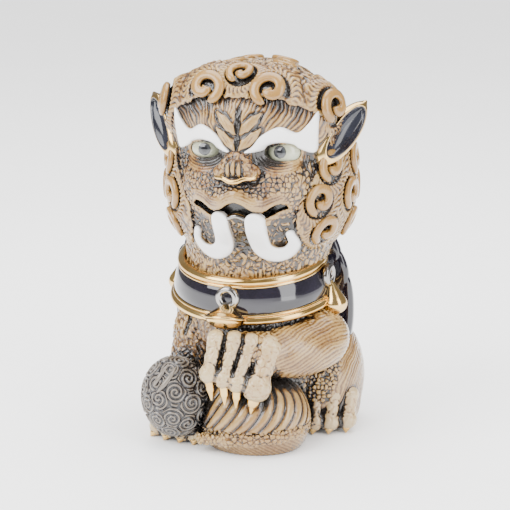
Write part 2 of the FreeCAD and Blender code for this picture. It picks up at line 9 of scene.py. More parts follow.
import bpy
import numpy as np
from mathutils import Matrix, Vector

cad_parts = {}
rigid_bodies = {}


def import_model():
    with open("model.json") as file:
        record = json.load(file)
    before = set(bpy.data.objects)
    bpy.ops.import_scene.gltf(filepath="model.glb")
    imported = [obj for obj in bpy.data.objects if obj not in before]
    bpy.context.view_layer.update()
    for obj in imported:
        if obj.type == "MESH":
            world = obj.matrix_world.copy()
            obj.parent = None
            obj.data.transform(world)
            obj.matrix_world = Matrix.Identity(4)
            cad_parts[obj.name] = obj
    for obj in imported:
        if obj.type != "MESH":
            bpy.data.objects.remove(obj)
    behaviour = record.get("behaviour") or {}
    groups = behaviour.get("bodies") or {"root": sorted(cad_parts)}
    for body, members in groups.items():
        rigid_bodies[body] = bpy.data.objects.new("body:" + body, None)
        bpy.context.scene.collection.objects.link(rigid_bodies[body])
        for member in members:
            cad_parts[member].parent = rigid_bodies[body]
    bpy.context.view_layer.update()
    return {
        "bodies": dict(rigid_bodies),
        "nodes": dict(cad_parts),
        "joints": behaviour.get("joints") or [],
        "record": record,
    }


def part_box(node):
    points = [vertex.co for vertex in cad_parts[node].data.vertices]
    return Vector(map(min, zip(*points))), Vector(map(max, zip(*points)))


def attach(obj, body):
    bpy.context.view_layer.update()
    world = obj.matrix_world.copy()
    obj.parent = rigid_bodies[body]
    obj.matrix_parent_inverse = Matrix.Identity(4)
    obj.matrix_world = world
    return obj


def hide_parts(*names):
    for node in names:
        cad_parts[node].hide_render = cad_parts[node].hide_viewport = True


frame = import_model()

import openvdb
from mathutils import Matrix, Vector

MM = 0.001
CELL = 0.45      # grid spacing of the sculpted pieces
FINE = 0.38      # grid spacing where the carving is finest
FAR = 30.0

band_low, band_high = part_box("collar_band")
COLLAR_Y = 1.5          # the band's own centre lies this far behind the modelling axis
ORIGIN = np.array([(band_low.x + band_high.x) / 2, (band_low.y + band_high.y) / 2 - COLLAR_Y * MM, 0.0])


# Clay: distance fields on a grid ------------------------------------------------------------------

def soft_min(a, b, blend):
    """Union of two distances, rounded where they meet."""
    if blend <= 0:
        return np.minimum(a, b)
    h = np.maximum(blend - np.abs(a - b), 0) / blend
    return np.minimum(a, b) - h * h * blend * 0.25


def soft_max(a, b, blend):
    return -soft_min(-a, -b, blend)


def turned(yaw=0.0, pitch=0.0, roll=0.0):
    """Rotation matrix: roll about X, then pitch about Y, then yaw about Z, in degrees."""
    spin = Matrix.Rotation(math.radians(yaw), 3, "Z") @ Matrix.Rotation(math.radians(pitch), 3, "Y")
    return np.array(spin @ Matrix.Rotation(math.radians(roll), 3, "X"), dtype=np.float32)


class Ball:
    """Ellipsoid."""

    def __init__(self, centre, radii, turn=None):
        self.centre, self.radii, self.turn = centre, radii, turn
        reach = np.full(3, max(radii)) if turn is not None else np.array(radii, float)
        self.low, self.high = np.array(centre) - reach, np.array(centre) + reach

    def __call__(self, x, y, z):
        u, v, w = x - self.centre[0], y - self.centre[1], z - self.centre[2]
        if self.turn is not None:
            t = self.turn
            u, v, w = (u * t[0, 0] + v * t[1, 0] + w * t[2, 0], u * t[0, 1] + v * t[1, 1] + w * t[2, 1],
                       u * t[0, 2] + v * t[1, 2] + w * t[2, 2])
        a, b, c = self.radii
        near = np.sqrt((u / a) ** 2 + (v / b) ** 2 + (w / c) ** 2)
        steep = np.sqrt((u / a ** 2) ** 2 + (v / b ** 2) ** 2 + (w / c ** 2) ** 2)
        return near * (near - 1) / np.maximum(steep, 1e-4)


class Bar:
    """Round limb through (x, y, z, radius) stations."""

    def __init__(self, stations, bend=1.5):
        self.stations, self.bend = np.array(stations, np.float32), bend
        reach = self.stations[:, 3:4]
        self.low = (self.stations[:, :3] - reach).min(0)
        self.high = (self.stations[:, :3] + reach).max(0)

    def __call__(self, x, y, z):
        best = None
        for a, b in zip(self.stations, self.stations[1:]):
            d = b - a
            t = ((x - a[0]) * d[0] + (y - a[1]) * d[1] + (z - a[2]) * d[2]) / max(float(d[:3] @ d[:3]), 1e-6)
            t = np.clip(t, 0, 1)
            gap = np.sqrt((x - a[0] - t * d[0]) ** 2 + (y - a[1] - t * d[1]) ** 2 + (z - a[2] - t * d[2]) ** 2)
            gap = gap - (a[3] + d[3] * t)
            best = gap if best is None else soft_min(best, gap, self.bend)
        return best


class Field:
    """Any distance function with a box round the part of it that matters."""

    def __init__(self, rule, low, high):
        self.rule, self.low, self.high = rule, np.array(low, float), np.array(high, float)

    def __call__(self, x, y, z):
        return self.rule(x, y, z)


class Clay:
    """A block of space sampled on a grid; negative inside the clay."""

    def __init__(self, low, high, cell=CELL):
        self.low, self.cell = np.array(low, np.float32), cell
        counts = np.ceil((np.array(high) - np.array(low)) / cell - 0.01).astype(int) + 1
        self.axes = [self.low[i] + cell * np.arange(counts[i], dtype=np.float32) for i in range(3)]
        self.d = np.full(counts, FAR, np.float32)

    def window(self, low, high, margin):
        cuts = []
        for i in range(3):
            first = max(0, int((low[i] - margin - self.low[i]) / self.cell))
            last = min(len(self.axes[i]), int((high[i] + margin - self.low[i]) / self.cell) + 2)
            if last <= first:
                return None
            cuts.append(slice(first, last))
        return tuple(cuts)

    def work(self, shape, blend=0.0, how="add"):
        """Adds a shape to the clay, cuts it out, or keeps only what is inside it."""
        where = self.window(shape.low, shape.high, blend + 5.0)
        if where is None:
            return self
        x, y, z = (self.axes[i][where[i]] for i in range(3))
        there = shape(x[:, None, None], y[None, :, None], z[None, None, :]).astype(np.float32)
        if how == "add":
            self.d[where] = soft_min(self.d[where], there, blend)
        elif how == "cut":
            self.d[where] = soft_max(self.d[where], -there, blend)
        else:
            kept = np.full_like(self.d, FAR)
            kept[where] = soft_max(self.d[where], there, blend)
            self.d = kept
        return self

    def at(self, points, field=None):
        """The field's value at points, between the samples."""
        field = self.d if field is None else field
        q = (points - self.low) / self.cell
        limits = np.array(field.shape) - 1.001
        q = np.clip(q, 0, limits)
        base = q.astype(np.int32)
        f = (q - base).astype(np.float32)
        total = np.zeros(len(points), np.float32)
        for dx in (0, 1):
            for dy in (0, 1):
                for dz in (0, 1):
                    weight = (f[:, 0] if dx else 1 - f[:, 0]) * (f[:, 1] if dy else 1 - f[:, 1])
                    weight = weight * (f[:, 2] if dz else 1 - f[:, 2])
                    total += weight * field[base[:, 0] + dx, base[:, 1] + dy, base[:, 2] + dz]
        return total

    def climb(self, points):
        """How fast the field grows, as a vector."""
        reach = self.cell * 1.5
        parts = []
        for i in range(3):
            shift = np.zeros(3, np.float32)
            shift[i] = reach
            parts.append(self.at(points + shift) - self.at(points - shift))
        return np.stack(parts, 1) / (2 * reach)

    def slope(self, points):
        n = self.climb(points)
        return n / np.maximum(np.linalg.norm(n, axis=1, keepdims=True), 1e-6)

    def engrave(self, height, reach=2.6):
        """Moves the surface out by height(foot, normal), where foot is the nearest point on the surface."""
        near = np.abs(self.d) < reach
        i, j, k = np.nonzero(near)
        points = np.stack([self.axes[0][i], self.axes[1][j], self.axes[2][k]], 1)
        normal = self.climb(points)
        steep = np.clip(np.linalg.norm(normal, axis=1), 0.3, 3)
        normal = normal / steep[:, None]
        gap = self.d[near] / steep
        foot = points - normal * gap[:, None]
        self.d[near] = gap - np.clip(height(foot, normal), -reach * 0.8, reach * 0.8)
        return self

    def blurred(self, cells):
        """Box blur over this many cells each way, twice."""
        out = np.clip(self.d, -4, 4)
        for axis in (0, 1, 2, 0, 1, 2):
            total = np.cumsum(out, axis=axis, dtype=np.float32 if out.shape[axis] < 400 else np.float64)
            low = np.take(total, np.clip(np.arange(out.shape[axis]) - cells - 1, 0, None), axis=axis)
            high = np.take(total, np.clip(np.arange(out.shape[axis]) + cells, None, out.shape[axis] - 1), axis=axis)
            out = (high - low) / (2 * cells + 1)
        return out

    def surface(self):
        """Points and four-sided faces of the zero surface."""
        grid = openvdb.FloatGrid(4.0)
        grid.copyFromArray(np.clip(self.d, -4, 4))
        points, triangles, quads = grid.convertToPolygons(isovalue=0.0, adaptivity=0.0)
        return points.astype(np.float32) * self.cell + self.low, quads


# Random textures ----------------------------------------------------------------------------------

def scatter(keys, seed):
    """Repeatable random numbers in 0..1, one for each row of whole numbers."""
    h = np.full(len(keys), seed * 2654435761 % 4294967296, np.uint32)
    for column, prime in zip(keys.T, (73856093, 19349663, 83492791, 49979687)):
        h = (h ^ (column.astype(np.int64).astype(np.uint32) * np.uint32(prime))) * np.uint32(2246822519)
        h ^= h >> np.uint32(13)
    h = h * np.uint32(3266489917)
    h ^= h >> np.uint32(16)
    return h.astype(np.float32) / np.float32(4294967295)


def wander(p, size, seed):
    """Smooth noise of about -1..1 that changes over this size in mm."""
    dice = np.random.default_rng(seed)
    total = np.zeros(len(p), np.float32)
    for octave, share in ((1.0, 0.62), (1.9, 0.38)):
        for k in range(4):
            way = dice.normal(size=3)
            way = (way / np.linalg.norm(way) * 2 * math.pi / size * octave).astype(np.float32)
            total += share * 0.5 * np.sin(p @ way + np.float32(dice.uniform(0, 6.28)))
    return total


def cells(p, seed):
    """Nearest and second nearest distance to seeds jittered in unit cells, and the nearest seed's number."""
    base = np.floor(p).astype(np.int32)
    first = np.full(len(p), 9, np.float32)
    second = np.full(len(p), 9, np.float32)
    name = np.zeros(len(p), np.float32)
    for dx in (-1, 0, 1):
        for dy in (-1, 0, 1):
            for dz in (-1, 0, 1):
                cell = base + np.array([dx, dy, dz], np.int32)
                gap = np.zeros(len(p), np.float32)
                for i in range(3):
                    jitter = scatter(cell, seed + i) * 0.8 + 0.1
                    gap += (cell[:, i] + jitter - p[:, i]) ** 2
                closer = gap < first
                second = np.where(closer, first, np.minimum(second, gap))
                name = np.where(closer, scatter(cell, seed + 9), name)
                first = np.where(closer, gap, first)
    return np.sqrt(first), np.sqrt(second), name


def ridge(phase, sharp=0.5):
    """Rounded ridges with sharp grooves at whole numbers, from -0.7 in the groove to 0.3 on top."""
    return np.abs(np.sin(math.pi * phase)) ** sharp - 0.7


def step(low, high, value):
    t = np.clip((value - low) / (high - low), 0, 1)
    return t * t * (3 - 2 * t)


def tufts(p, size, along, seed, depth=0.8):
    """Short overlapping leaf-shaped tufts: size across in mm, stretched along a direction."""
    along = np.array(along, np.float32)
    along = along / np.linalg.norm(along)
    q = p + np.stack([wander(p, size * 3.2, seed + i) for i in (1, 2, 3)], 1) * size * 0.55
    lengthwise = q @ along
    q = (q - np.outer(lengthwise, along) * 0.52) / size
    first, second, name = cells(q, seed)
    edge = step(0.03, 0.3, second - first)
    vein = np.sin((q @ np.array([3.1, 2.3, 2.7], np.float32)) * 3.0 + name * 20)
    return depth * (edge * (0.75 - 0.75 * first) + 0.10 * vein * edge - 0.30 + 0.3 * (name - 0.5))


def locks(phase, fine, depth, strand_depth, lengthwise, seed):
    """Broad locks at whole numbers of phase, each engraved with fine strands."""
    broad = ridge(phase + 0.12 * np.sin(lengthwise), 0.6)
    strand = ridge(phase * fine + 0.3 * np.sin(lengthwise * 1.7 + seed), 0.7)
    return depth * broad + strand_depth * strand


# Meshes -------------------------------------------------------------------------------------------

def outward(points, faces):
    """The same faces, turned round when their solid is inside out."""
    p = points.astype(np.float64) - points.mean(0)
    volume = 0.0
    for k in range(1, faces.shape[1] - 1):
        a, b, c = p[faces[:, 0]], p[faces[:, k]], p[faces[:, k + 1]]
        volume += np.einsum("ij,ij->", a, np.cross(b, c))
    return faces if volume >= 0 else np.ascontiguousarray(faces[:, ::-1])


def add_object(name, points, faces, material, smooth=True, **attributes):
    """Mesh object from points in mm; each attribute is one number per point."""
    mesh = bpy.data.meshes.new(name)
    points = np.asarray(points, np.float32) * MM + ORIGIN
    faces = outward(points, np.asarray(faces, np.int32))
    mesh.vertices.add(len(points))
    mesh.vertices.foreach_set("co", points.astype(np.float32).ravel())
    mesh.loops.add(faces.size)
    mesh.loops.foreach_set("vertex_index", faces.ravel())
    mesh.polygons.add(len(faces))
    mesh.polygons.foreach_set("loop_start", np.arange(0, faces.size, faces.shape[1], dtype=np.int32))
    mesh.update(calc_edges=True)
    mesh.validate()
    for label, values in attributes.items():
        layer = mesh.attributes.new(label, "FLOAT", "POINT")
        layer.data.foreach_set("value", np.asarray(values, np.float32))
    if smooth:
        mesh.shade_smooth()
    mesh.materials.append(material)
    piece = bpy.data.objects.new(name, mesh)
    bpy.context.scene.collection.objects.link(piece)
    return piece


# Sizes of the animal ------------------------------------------------------------------------------

MID = 5.5               # the face's middle line
HEAD_X, HEAD_Y, HEAD_Z = 4.0, 1.0, 120.0
MANE_HALF_WIDTH, MANE_HALF_DEPTH = 44.6, 45.2
MANE_UP, MANE_DOWN = 58.0, 36.0

# Mane curls in level rings: height, first bearing from the face, curls in the ring, curl radius
CURL_RINGS = [
    (103, 60, 8, 7.2), (118, 52, 9, 7.2), (133, 62, 8, 7.2), (148, 100, 5, 7.2), (163, 94, 6, 6.9),
    (176, 0, 5, 6.0),
]
HAIRLINE_TOP, HAIRLINE_DROP = 171.0, 20.0
HAIRLINE_BEARINGS = (-60, -20, 20, 60)
HAIRLINE_CURL = 7.8


def curl_places():
    """Bearing, height, radius and hand of every mane curl; the hands mirror across the face."""
    places = []
    for bearing in HAIRLINE_BEARINGS:
        drop = HAIRLINE_DROP * (1 - math.cos(math.radians(bearing)))
        places.append((bearing, HAIRLINE_TOP - drop, HAIRLINE_CURL))
    for height, first, count, radius in CURL_RINGS:
        step = (360 - 2 * first) / (count - 1 if first else count)
        places += [(first + k * step, height, radius) for k in range(count)]
    return [(b, z, radius, 1 if b % 360 <= 180 else -1) for b, z, radius in places]


CURLS = curl_places()
CURL_TURNS = 1.22
CURL_SCALE = 1.16
RIBBON = 0.235          # half width of a curl's ribbon over its radius

EYE_OUT, EYE_UP = 18.0, 140.6
EYES = {"left": (MID + EYE_OUT, -30.4, EYE_UP), "right": (MID - EYE_OUT, -30.4, EYE_UP)}
EYE_RADII = (7.6, 6.2, 6.4)


def mane_rule(x, y, z):
    reach = np.where(z > HEAD_Z, MANE_UP, MANE_DOWN)
    power = np.where(z > HEAD_Z, 2.2, 2.5)
    across = np.sqrt(((x - HEAD_X) / MANE_HALF_WIDTH) ** 2 + ((y - HEAD_Y) / MANE_HALF_DEPTH) ** 2)
    k = (across ** power + (np.abs(z - HEAD_Z) / reach) ** power) ** (1 / power)
    return (k - 1) * 44


MANE_FORM = [
    (Field(mane_rule, (-41, -45, 84), (49, 47, 178.5)), 0, "add"),
    (Bar([(-23, -18, 158, 15), (-9, -24, 162, 17), (17, -24, 162, 17), (32, -17, 158, 15)]), 9, "add"),
]


# Outlines on the face -----------------------------------------------------------------------------

def smooth_loop(points, pieces=6):
    """Closed outline with rounded corners through the points."""
    p = np.array(points, np.float32)
    n = len(p)
    out = []
    for k in range(n):
        a, b, c, d = p[k - 1], p[k], p[(k + 1) % n], p[(k + 2) % n]
        for s in range(pieces):
            t = s / pieces
            out.append(0.5 * (2 * b + (c - a) * t + (2 * a - 5 * b + 4 * c - d) * t ** 2
                              + (3 * b - a - 3 * c + d) * t ** 3))
    return np.array(out)


def loop_distance(loop, x, z):
    """Distance in the plane to a closed outline, negative inside."""
    best = np.full(np.broadcast(x, z).shape, 1e6, np.float32)
    inside = np.zeros(best.shape, bool)
    for a, b in zip(loop, np.roll(loop, -1, 0)):
        d = b - a
        t = np.clip(((x - a[0]) * d[0] + (z - a[1]) * d[1]) / max(float(d @ d), 1e-9), 0, 1)
        best = np.minimum(best, (x - a[0] - t * d[0]) ** 2 + (z - a[1] - t * d[1]) ** 2)
        crosses = (a[1] > z) != (b[1] > z)
        if abs(d[1]) > 1e-9:
            inside ^= crosses & (x < d[0] * (z - a[1]) / d[1] + a[0])
    return np.where(inside, -np.sqrt(best), np.sqrt(best))


def stroke_distance(stations, x, z):
    """Distance in the plane to a brush stroke of (x, z, width) stations."""
    s = np.array(stations, np.float32)
    best = np.full(np.broadcast(x, z).shape, 1e6, np.float32)
    for a, b in zip(s, s[1:]):
        d = b - a
        t = np.clip(((x - a[0]) * d[0] + (z - a[1]) * d[1]) / max(float(d[:2] @ d[:2]), 1e-9), 0, 1)
        gap = np.sqrt((x - a[0] - t * d[0]) ** 2 + (z - a[1] - t * d[1]) ** 2) - (a[2] + t * d[2]) / 2
        best = np.minimum(best, gap)
    return best


def smooth_stroke(stations, pieces=6):
    p = np.array(stations, np.float32)
    p = np.vstack([2 * p[0] - p[1], p, 2 * p[-1] - p[-2]])
    out = []
    for k in range(1, len(p) - 2):
        a, b, c, d = p[k - 1], p[k], p[k + 1], p[k + 2]
        for s in range(pieces):
            t = s / pieces
            out.append(0.5 * (2 * b + (c - a) * t + (2 * a - 5 * b + 4 * c - d) * t ** 2
                              + (3 * b - a - 3 * c + d) * t ** 3))
    out.append(p[-2])
    return np.array(out)


def prism(flat, low, high, y_from=-70.0, y_to=-20.0):
    """Field of a flat outline in X and Z, taken through from y_from to y_to."""
    def rule(x, y, z):
        there = flat(x[:, 0, 0][:, None], z[0, 0, :][None, :])
        return np.maximum(there[:, None, :], np.abs(y - (y_from + y_to) / 2) - (y_to - y_from) / 2)
    return Field(rule, (low[0], y_from, low[1]), (high[0], y_to, high[1]))


def loop_prism(loop, y_from=-70.0, y_to=-20.0):
    low, high = loop.min(0), loop.max(0)
    return prism(lambda x, z: loop_distance(loop, x, z), low, high, y_from, y_to)


def on_face(points):
    """Outline given from the middle line, turned into modelling axes."""
    return smooth_loop([(MID + x, z) for x, z in points])


def both_sides(top, side):
    """Closed outline from its top point and the points down her left side."""
    return on_face([top] + side + [(-x, z) for x, z in side[::-1]])


WINDOW = both_sides((0, 165), [(15, 164.5), (27, 161), (34, 156), (35.5, 147), (34, 136), (30, 127),
                               (25.5, 117), (24, 106), (27, 92), (30, 76)])

# Brow: an arch over the eye, then out to a corner and up to a horn at the temple, from the eye's centre
BROW_UNDER, BROW_OVER = (8.2, 5.0), (10.5, 12.6)
BROW_ROOT = [(-11.5, 4.0), (-14.5, 1.2)]
BROW_TEMPLE = [(13.4, -0.3), (15.0, 6.4), (15.6, 19.0), (11.5, 13.6)]


def arc(radii, *angles):
    turns = [math.radians(a) for a in angles]
    return [(radii[0] * math.cos(a), radii[1] * math.sin(a)) for a in turns]


def brow(hand):
    points = BROW_ROOT + arc(BROW_UNDER, 165, 128, 90, 52, 20) + BROW_TEMPLE + arc(BROW_OVER, 50, 90, 135)
    return on_face([(hand * (EYE_OUT + x), EYE_UP + z) for x, z in points])


def almond(hand, half=6.9, up=3.4, down=3.1):
    rim = arc((half, up), 0, 45, 90, 135, 180) + arc((half, down), 225, 270, 315)
    return on_face([(hand * EYE_OUT + x, EYE_UP + z) for x, z in rim])


# Mouth: one wave, high under the nose, low beside it and high again at the corners
MOUTH_Z, MOUTH_WAVE, MOUTH_REACH = 115.0, 2.0, 10.0


def mouth_line(x):
    return MOUTH_Z + MOUTH_WAVE * math.cos(math.pi * x / MOUTH_REACH)


def mouth_band(start, end, half, steps=8):
    """Outline of a band that follows the mouth's wave and thins to a point at both ends."""
    shares = [k / steps for k in range(steps + 1)]
    middle = [start + (end - start) * t for t in shares]
    thick = [half * math.sin(math.pi * t) ** 0.5 for t in shares]
    upper = [(x, mouth_line(x) + h) for x, h in zip(middle, thick)]
    lower = [(x, mouth_line(x) - h) for x, h in zip(middle, thick)]
    return on_face(upper + lower[-2:0:-1])


# Beard ribbon: a stem beside the chin, then a hook turned outward and up round its own centre
BEARD_STEM = (8.2, 110.5, 8.6)
BEARD_CENTRE, BEARD_HOOK = (15.4, 100.0), 7.2
BEARD_WIDTHS = (9.0, 8.8, 7.8, 6.2, 4.6, 3.4)
BEARD_STEP = 42


def beard(hand):
    hook = arc((BEARD_HOOK, BEARD_HOOK), *[180 + BEARD_STEP * k for k in range(len(BEARD_WIDTHS))])
    stations = [(BEARD_CENTRE[0] + x, BEARD_CENTRE[1] + z, w) for (x, z), w in zip(hook, BEARD_WIDTHS)]
    return smooth_stroke([(hand * x, z, w) for x, z, w in [BEARD_STEM] + stations])


def leaf(hand, low, spread=9.4, rise=9.4, width=3.4):
    """Forehead leaf that climbs outward from the middle line."""
    shares = (0.0, 0.35, 0.7, 1.0)
    return [(hand * (0.6 + spread * t), low + rise * t, 0.7 + width * math.sin(math.pi * t)) for t in shares]


HANDS = {"left": 1, "right": -1}
BROWS = {side: brow(hand) for side, hand in HANDS.items()}
EYE_SLITS = {side: almond(hand) for side, hand in HANDS.items()}
MOUTH = mouth_band(-13.5, 13.5, 2.7)
MOUTH_CORNERS = {"left": mouth_band(10.5, 22, 1.9), "right": mouth_band(-22, -10.5, 1.9)}
LIP = [(x, mouth_line(x) - 3.9) for x in range(-12, 13, 4)]
LIP_CURVE = [(x, mouth_line(x) + 2.0) for x in range(-24, 25, 4)]
BEARD = {side: beard(hand) for side, hand in HANDS.items()}
LEAVES = [leaf(hand, low) for low in (142.6, 149.6) for hand in (1, -1)]


def face_rule(x, y, z):
    return mane_rule(x, y, z) + 1.4


FACE_FORM = [
    (Field(face_rule, (-40, -45, 84), (48, 46, 176)), 0, "add"),
    (Bar([(1, 1.5, 84, 32.5), (2.5, 1.5, 94, 34.5)]), 5, "add"),
    (Ball((MID, -31.5, 121), (23, 17, 13.5)), 7, "add"),
    (Ball((MID - 15, -30.5, 126.5), (12.5, 13, 11)), 6, "add"),
    (Ball((MID + 16, -30.5, 126.5), (12.5, 13, 11)), 6, "add"),
    (Ball((MID, -32, 111), (15, 13, 8)), 5, "add"),
    (Ball((MID, -35, 151), (13, 9, 11)), 8, "add"),
    (Bar([(-20, -19, 155, 14.5), (-8, -24, 158, 16), (17, -24, 158, 16), (30, -18, 155, 14.5)]), 9, "add"),
    (Ball((MID - 17.5, -45, 140.4), (10, 8.6, 5.6)), 4, "cut"),
    (Ball((MID + 17.5, -45, 140.4), (10, 8.6, 5.6)), 4, "cut"),
    (Bar([(MID, -39, 147, 4.4), (MID, -42.5, 138, 5.6)]), 4, "add"),
    (Bar([(MID - 13, -40.5, 116.2, 2.6), (MID - 6, -45.5, 120, 3.6), (MID, -46.5, 122, 3.8),
          (MID + 7, -45, 119.5, 3.6), (MID + 14, -40.5, 117, 2.8)], 3), 3, "add"),
]
NOSE_Y = -45.5
NOSE_FORM = [
    (Ball((MID, NOSE_Y, 134.8), (7.8, 6.4, 5.8)), 0, "add"),
    (Ball((MID - 6.6, NOSE_Y + 0.8, 132.6), (4.2, 4.8, 3.8)), 2, "add"),
    (Ball((MID + 6.6, NOSE_Y + 0.8, 132.6), (4.2, 4.8, 3.8)), 2, "add"),
    (Bar([(MID, NOSE_Y, 137, 5), (MID, NOSE_Y + 5, 141, 4)]), 3, "add"),
    (Ball((MID - 4.6, NOSE_Y - 4.6, 128.8), (2.4, 3.2, 1.6)), 1.0, "cut"),
    (Ball((MID + 4.6, NOSE_Y - 4.6, 128.8), (2.4, 3.2, 1.6)), 1.0, "cut"),
]
NOSE_LOBES = [(-2.6, 134.4, 0.9), (0.0, 135.4, 1.0), (2.6, 134.4, 0.9)]
NOSE_GILDING = [(-9.8, -0.4, 132.6, 0.6), (-8.6, -3.0, 130.8, 0.8), (-5.0, -5.6, 131.0, 0.9),
                (-1.6, -6.8, 129.8, 1.0), (1.6, -6.8, 129.8, 1.0), (5.0, -5.6, 131.0, 0.9),
                (8.6, -3.0, 131.2, 0.8), (9.8, -0.4, 133.4, 0.6)]

# Body forms
TORSO_FORM = [
    (Ball((1, 3, 48), (35.5, 34, 32)), 0, "add"),
    (Ball((2, 15, 26), (35.5, 32, 38)), 8, "add"),
    (Bar([(0, 2, 60, 34.5), (0, 2, 74, 32.5), (1, 2, 90, 33)]), 6, "add"),
]
LEFT_ARM_FORM = [
    (Ball((32.5, -7.5, 50.5), (16, 14, 12.5)), 0, "add"),
    (Ball((27, -24.5, 46), (25, 12, 12.5), turned(41)), 7, "add"),
    (Ball((9, -37.5, 48.5), (14.5, 8, 8.5)), 5, "add"),
]
RIGHT_ARM_FORM = [
    (Bar([(-20, -8, 62, 13), (-22, -14, 50, 12.2), (-25, -19, 34, 10.5), (-27, -20, 12, 10)]), 0, "add"),
    (Ball((-27, -21, 5), (12, 9, 8)), 5, "add"),
]
LEFT_HAUNCH_FORM = [
    (Ball((32, 18, 23), (18, 24, 29)), 0, "add"),
    (Ball((35.5, 13, 9), (13, 12, 12)), 5, "add"),
]
RIGHT_HAUNCH_FORM = [
    (Ball((-28, 20, 20), (15, 24, 27)), 0, "add"),
    (Ball((-35, 16, 7), (10, 13, 10)), 5, "add"),
]
CUB_BODY_FORM = [(Ball((8.5, -25.5, 12.5), (26, 23.5, 23)), 0, "add")]
CUB_HEAD_CENTRE, CUB_HEAD_RADII, CUB_HEAD_TURN = (-27.5, -35.0, 22.5), (16.2, 15.6, 19.6), turned(0, 0, 12)
CUB_HEAD_FORM = [(Ball(CUB_HEAD_CENTRE, CUB_HEAD_RADII, CUB_HEAD_TURN), 0, "add")]
CUB_SPINE_FORM = [(Bar([(-12, -44.6, 6.0, 2.6), (0, -47.4, 7.4, 2.8), (12, -47.8, 8.6, 3.0), (24, -43.2, 9.8, 2.8),
                        (32, -34.5, 10.6, 2.4)], 3), 0, "add")]
TAIL_FORM = [(Bar([(0, 44, 9, 7.5), (-3, 48, 22, 9), (-1, 50, 38, 8), (4, 49.5, 51, 5.5), (8, 48, 60, 2.6)], 5), 0,
              "add")]

# Each toe: knuckle, pad, claw tip, thickness
TOES = {
    "left_fore": [
        ((-4.6, -44.5, 54.6), (-6.3, -51.0, 39.6), (-4.8, -51.8, 27.6), 3.4),
        ((3.4, -43.0, 54.2), (0.4, -49.8, 37.5), (1.2, -50.8, 25.4), 3.5),
        ((10.8, -41.0, 52.8), (6.6, -48.6, 35.7), (6.2, -49.8, 24.2), 3.6),
        ((18.4, -38.0, 49.5), (14.8, -45.8, 33.4), (12.6, -47.6, 21.4), 5.2),
    ],
    "right_fore": [
        ((-35.5, -23.0, 9.0), (-39.0, -27.6, 4.4), (-41.6, -31.0, 0.6), 3.3),
        ((-30.5, -26.0, 9.5), (-32.2, -31.2, 4.4), (-33.8, -35.0, 0.6), 3.4),
        ((-24.5, -27.5, 9.5), (-25.0, -33.0, 4.4), (-25.7, -37.0, 0.6), 3.4),
        ((-18.5, -28.0, 9.0), (-18.4, -33.8, 4.4), (-18.4, -38.0, 0.6), 3.3),
    ],
    "left_hind": [
        ((25.0, -2.0, 18.0), (24.6, -6.2, 6.2), (24.4, -8.8, 0.6), 3.4),
        ((32.0, -0.5, 19.0), (31.7, -4.6, 6.2), (31.6, -7.2, 0.6), 3.6),
        ((39.2, 1.5, 18.5), (39.0, -2.6, 6.2), (38.9, -5.2, 0.6), 3.6),
        ((46.2, 6.5, 17.0), (46.2, 2.2, 6.2), (46.3, -0.4, 0.6), 3.6),
    ],
    "right_hind": [
        ((-43.5 + 8.0 * k, 13.5 - 3.4 * k, 16.0), (-45.0 + 8.0 * k, 6.9 - 3.4 * k, 5.4),
         (-45.6 + 8.0 * k, 3.6 - 3.4 * k, 0.6), 3.3) for k in range(3)
    ],
}
CAPE_BALL = Ball((0.5, 15.5, 58), (44.6, 31.6, 62), turned(0, 0, 14))
CAPE_FRONT, CAPE_LOW, CAPE_HIGH = 14.0, 37.0, 105.0


def cape_rule(x, y, z):
    round_it = soft_max(CAPE_BALL(x, y, z), CAPE_FRONT - y + 1.5 * np.cos(z / 9.0), 3.0)
    hem = CAPE_LOW + 2.6 - 2.6 * np.abs(np.cos(x / 7.0)) - z
    return soft_max(soft_max(round_it, hem, 3.0), z - CAPE_HIGH, 1.0)


CAPE_FORM = [(Field(cape_rule, (-48, 10, 34), (48, 60, 106)), 0, "add")]


def toe_form(rows):
    steps = []
    for knuckle, pad, tip, thick in rows:
        k, p = np.array(knuckle), np.array(pad)
        waist = k + (p - k) * 0.48
        steps.append((Bar([(*k, thick * 1.3), (*waist, thick * 0.9), (*p, thick)], 2.0), 0, "add"))
        steps.append((Ball(tuple(p), (thick * 1.3,) * 3), 1.5, "add"))
    return steps


def claw_form(rows):
    steps = []
    for knuckle, pad, tip, thick in rows:
        k, p, t = np.array(knuckle), np.array(pad), np.array(tip)
        root = p + (t - p) * 0.12
        bend = root + (t - root) * 0.5 + (p - k) / np.linalg.norm(p - k) * 0.2
        steps.append((Bar([(*root, thick * 0.86), (*bend, thick * 0.55), (*t, 0.5)], 0.6), 0, "add"))
    return steps


ALL_FORMS = [MANE_FORM, FACE_FORM, NOSE_FORM, TORSO_FORM, LEFT_ARM_FORM, RIGHT_ARM_FORM, LEFT_HAUNCH_FORM,
             RIGHT_HAUNCH_FORM, CUB_BODY_FORM, CUB_HEAD_FORM, TAIL_FORM, CAPE_FORM]
ALL_FORMS += [toe_form(rows) for rows in TOES.values()]


# Glazes -------------------------------------------------------------------------------------------

def new_glaze(name):
    glaze = bpy.data.materials.new(name)
    glaze.use_nodes = True
    glaze.node_tree.nodes.clear()
    return glaze, glaze.node_tree


def node(tree, kind, settings=None, **inputs):
    """Adds a node; inputs are values or other nodes' sockets, by socket name with _ for spaces."""
    made = tree.nodes.new(kind)
    for key, value in (settings or {}).items():
        setattr(made, key, value)
    for key, value in inputs.items():
        socket = made.inputs[int(key[1:])] if key[1:].isdigit() else made.inputs[key.replace("_", " ")]
        if isinstance(value, bpy.types.NodeSocket):
            tree.links.new(value, socket)
        else:
            socket.default_value = value
    return made


def math_node(tree, operation, a, b=0.5, clamp=False):
    return node(tree, "ShaderNodeMath", {"operation": operation, "use_clamp": clamp}, i0=a, i1=b).outputs[0]


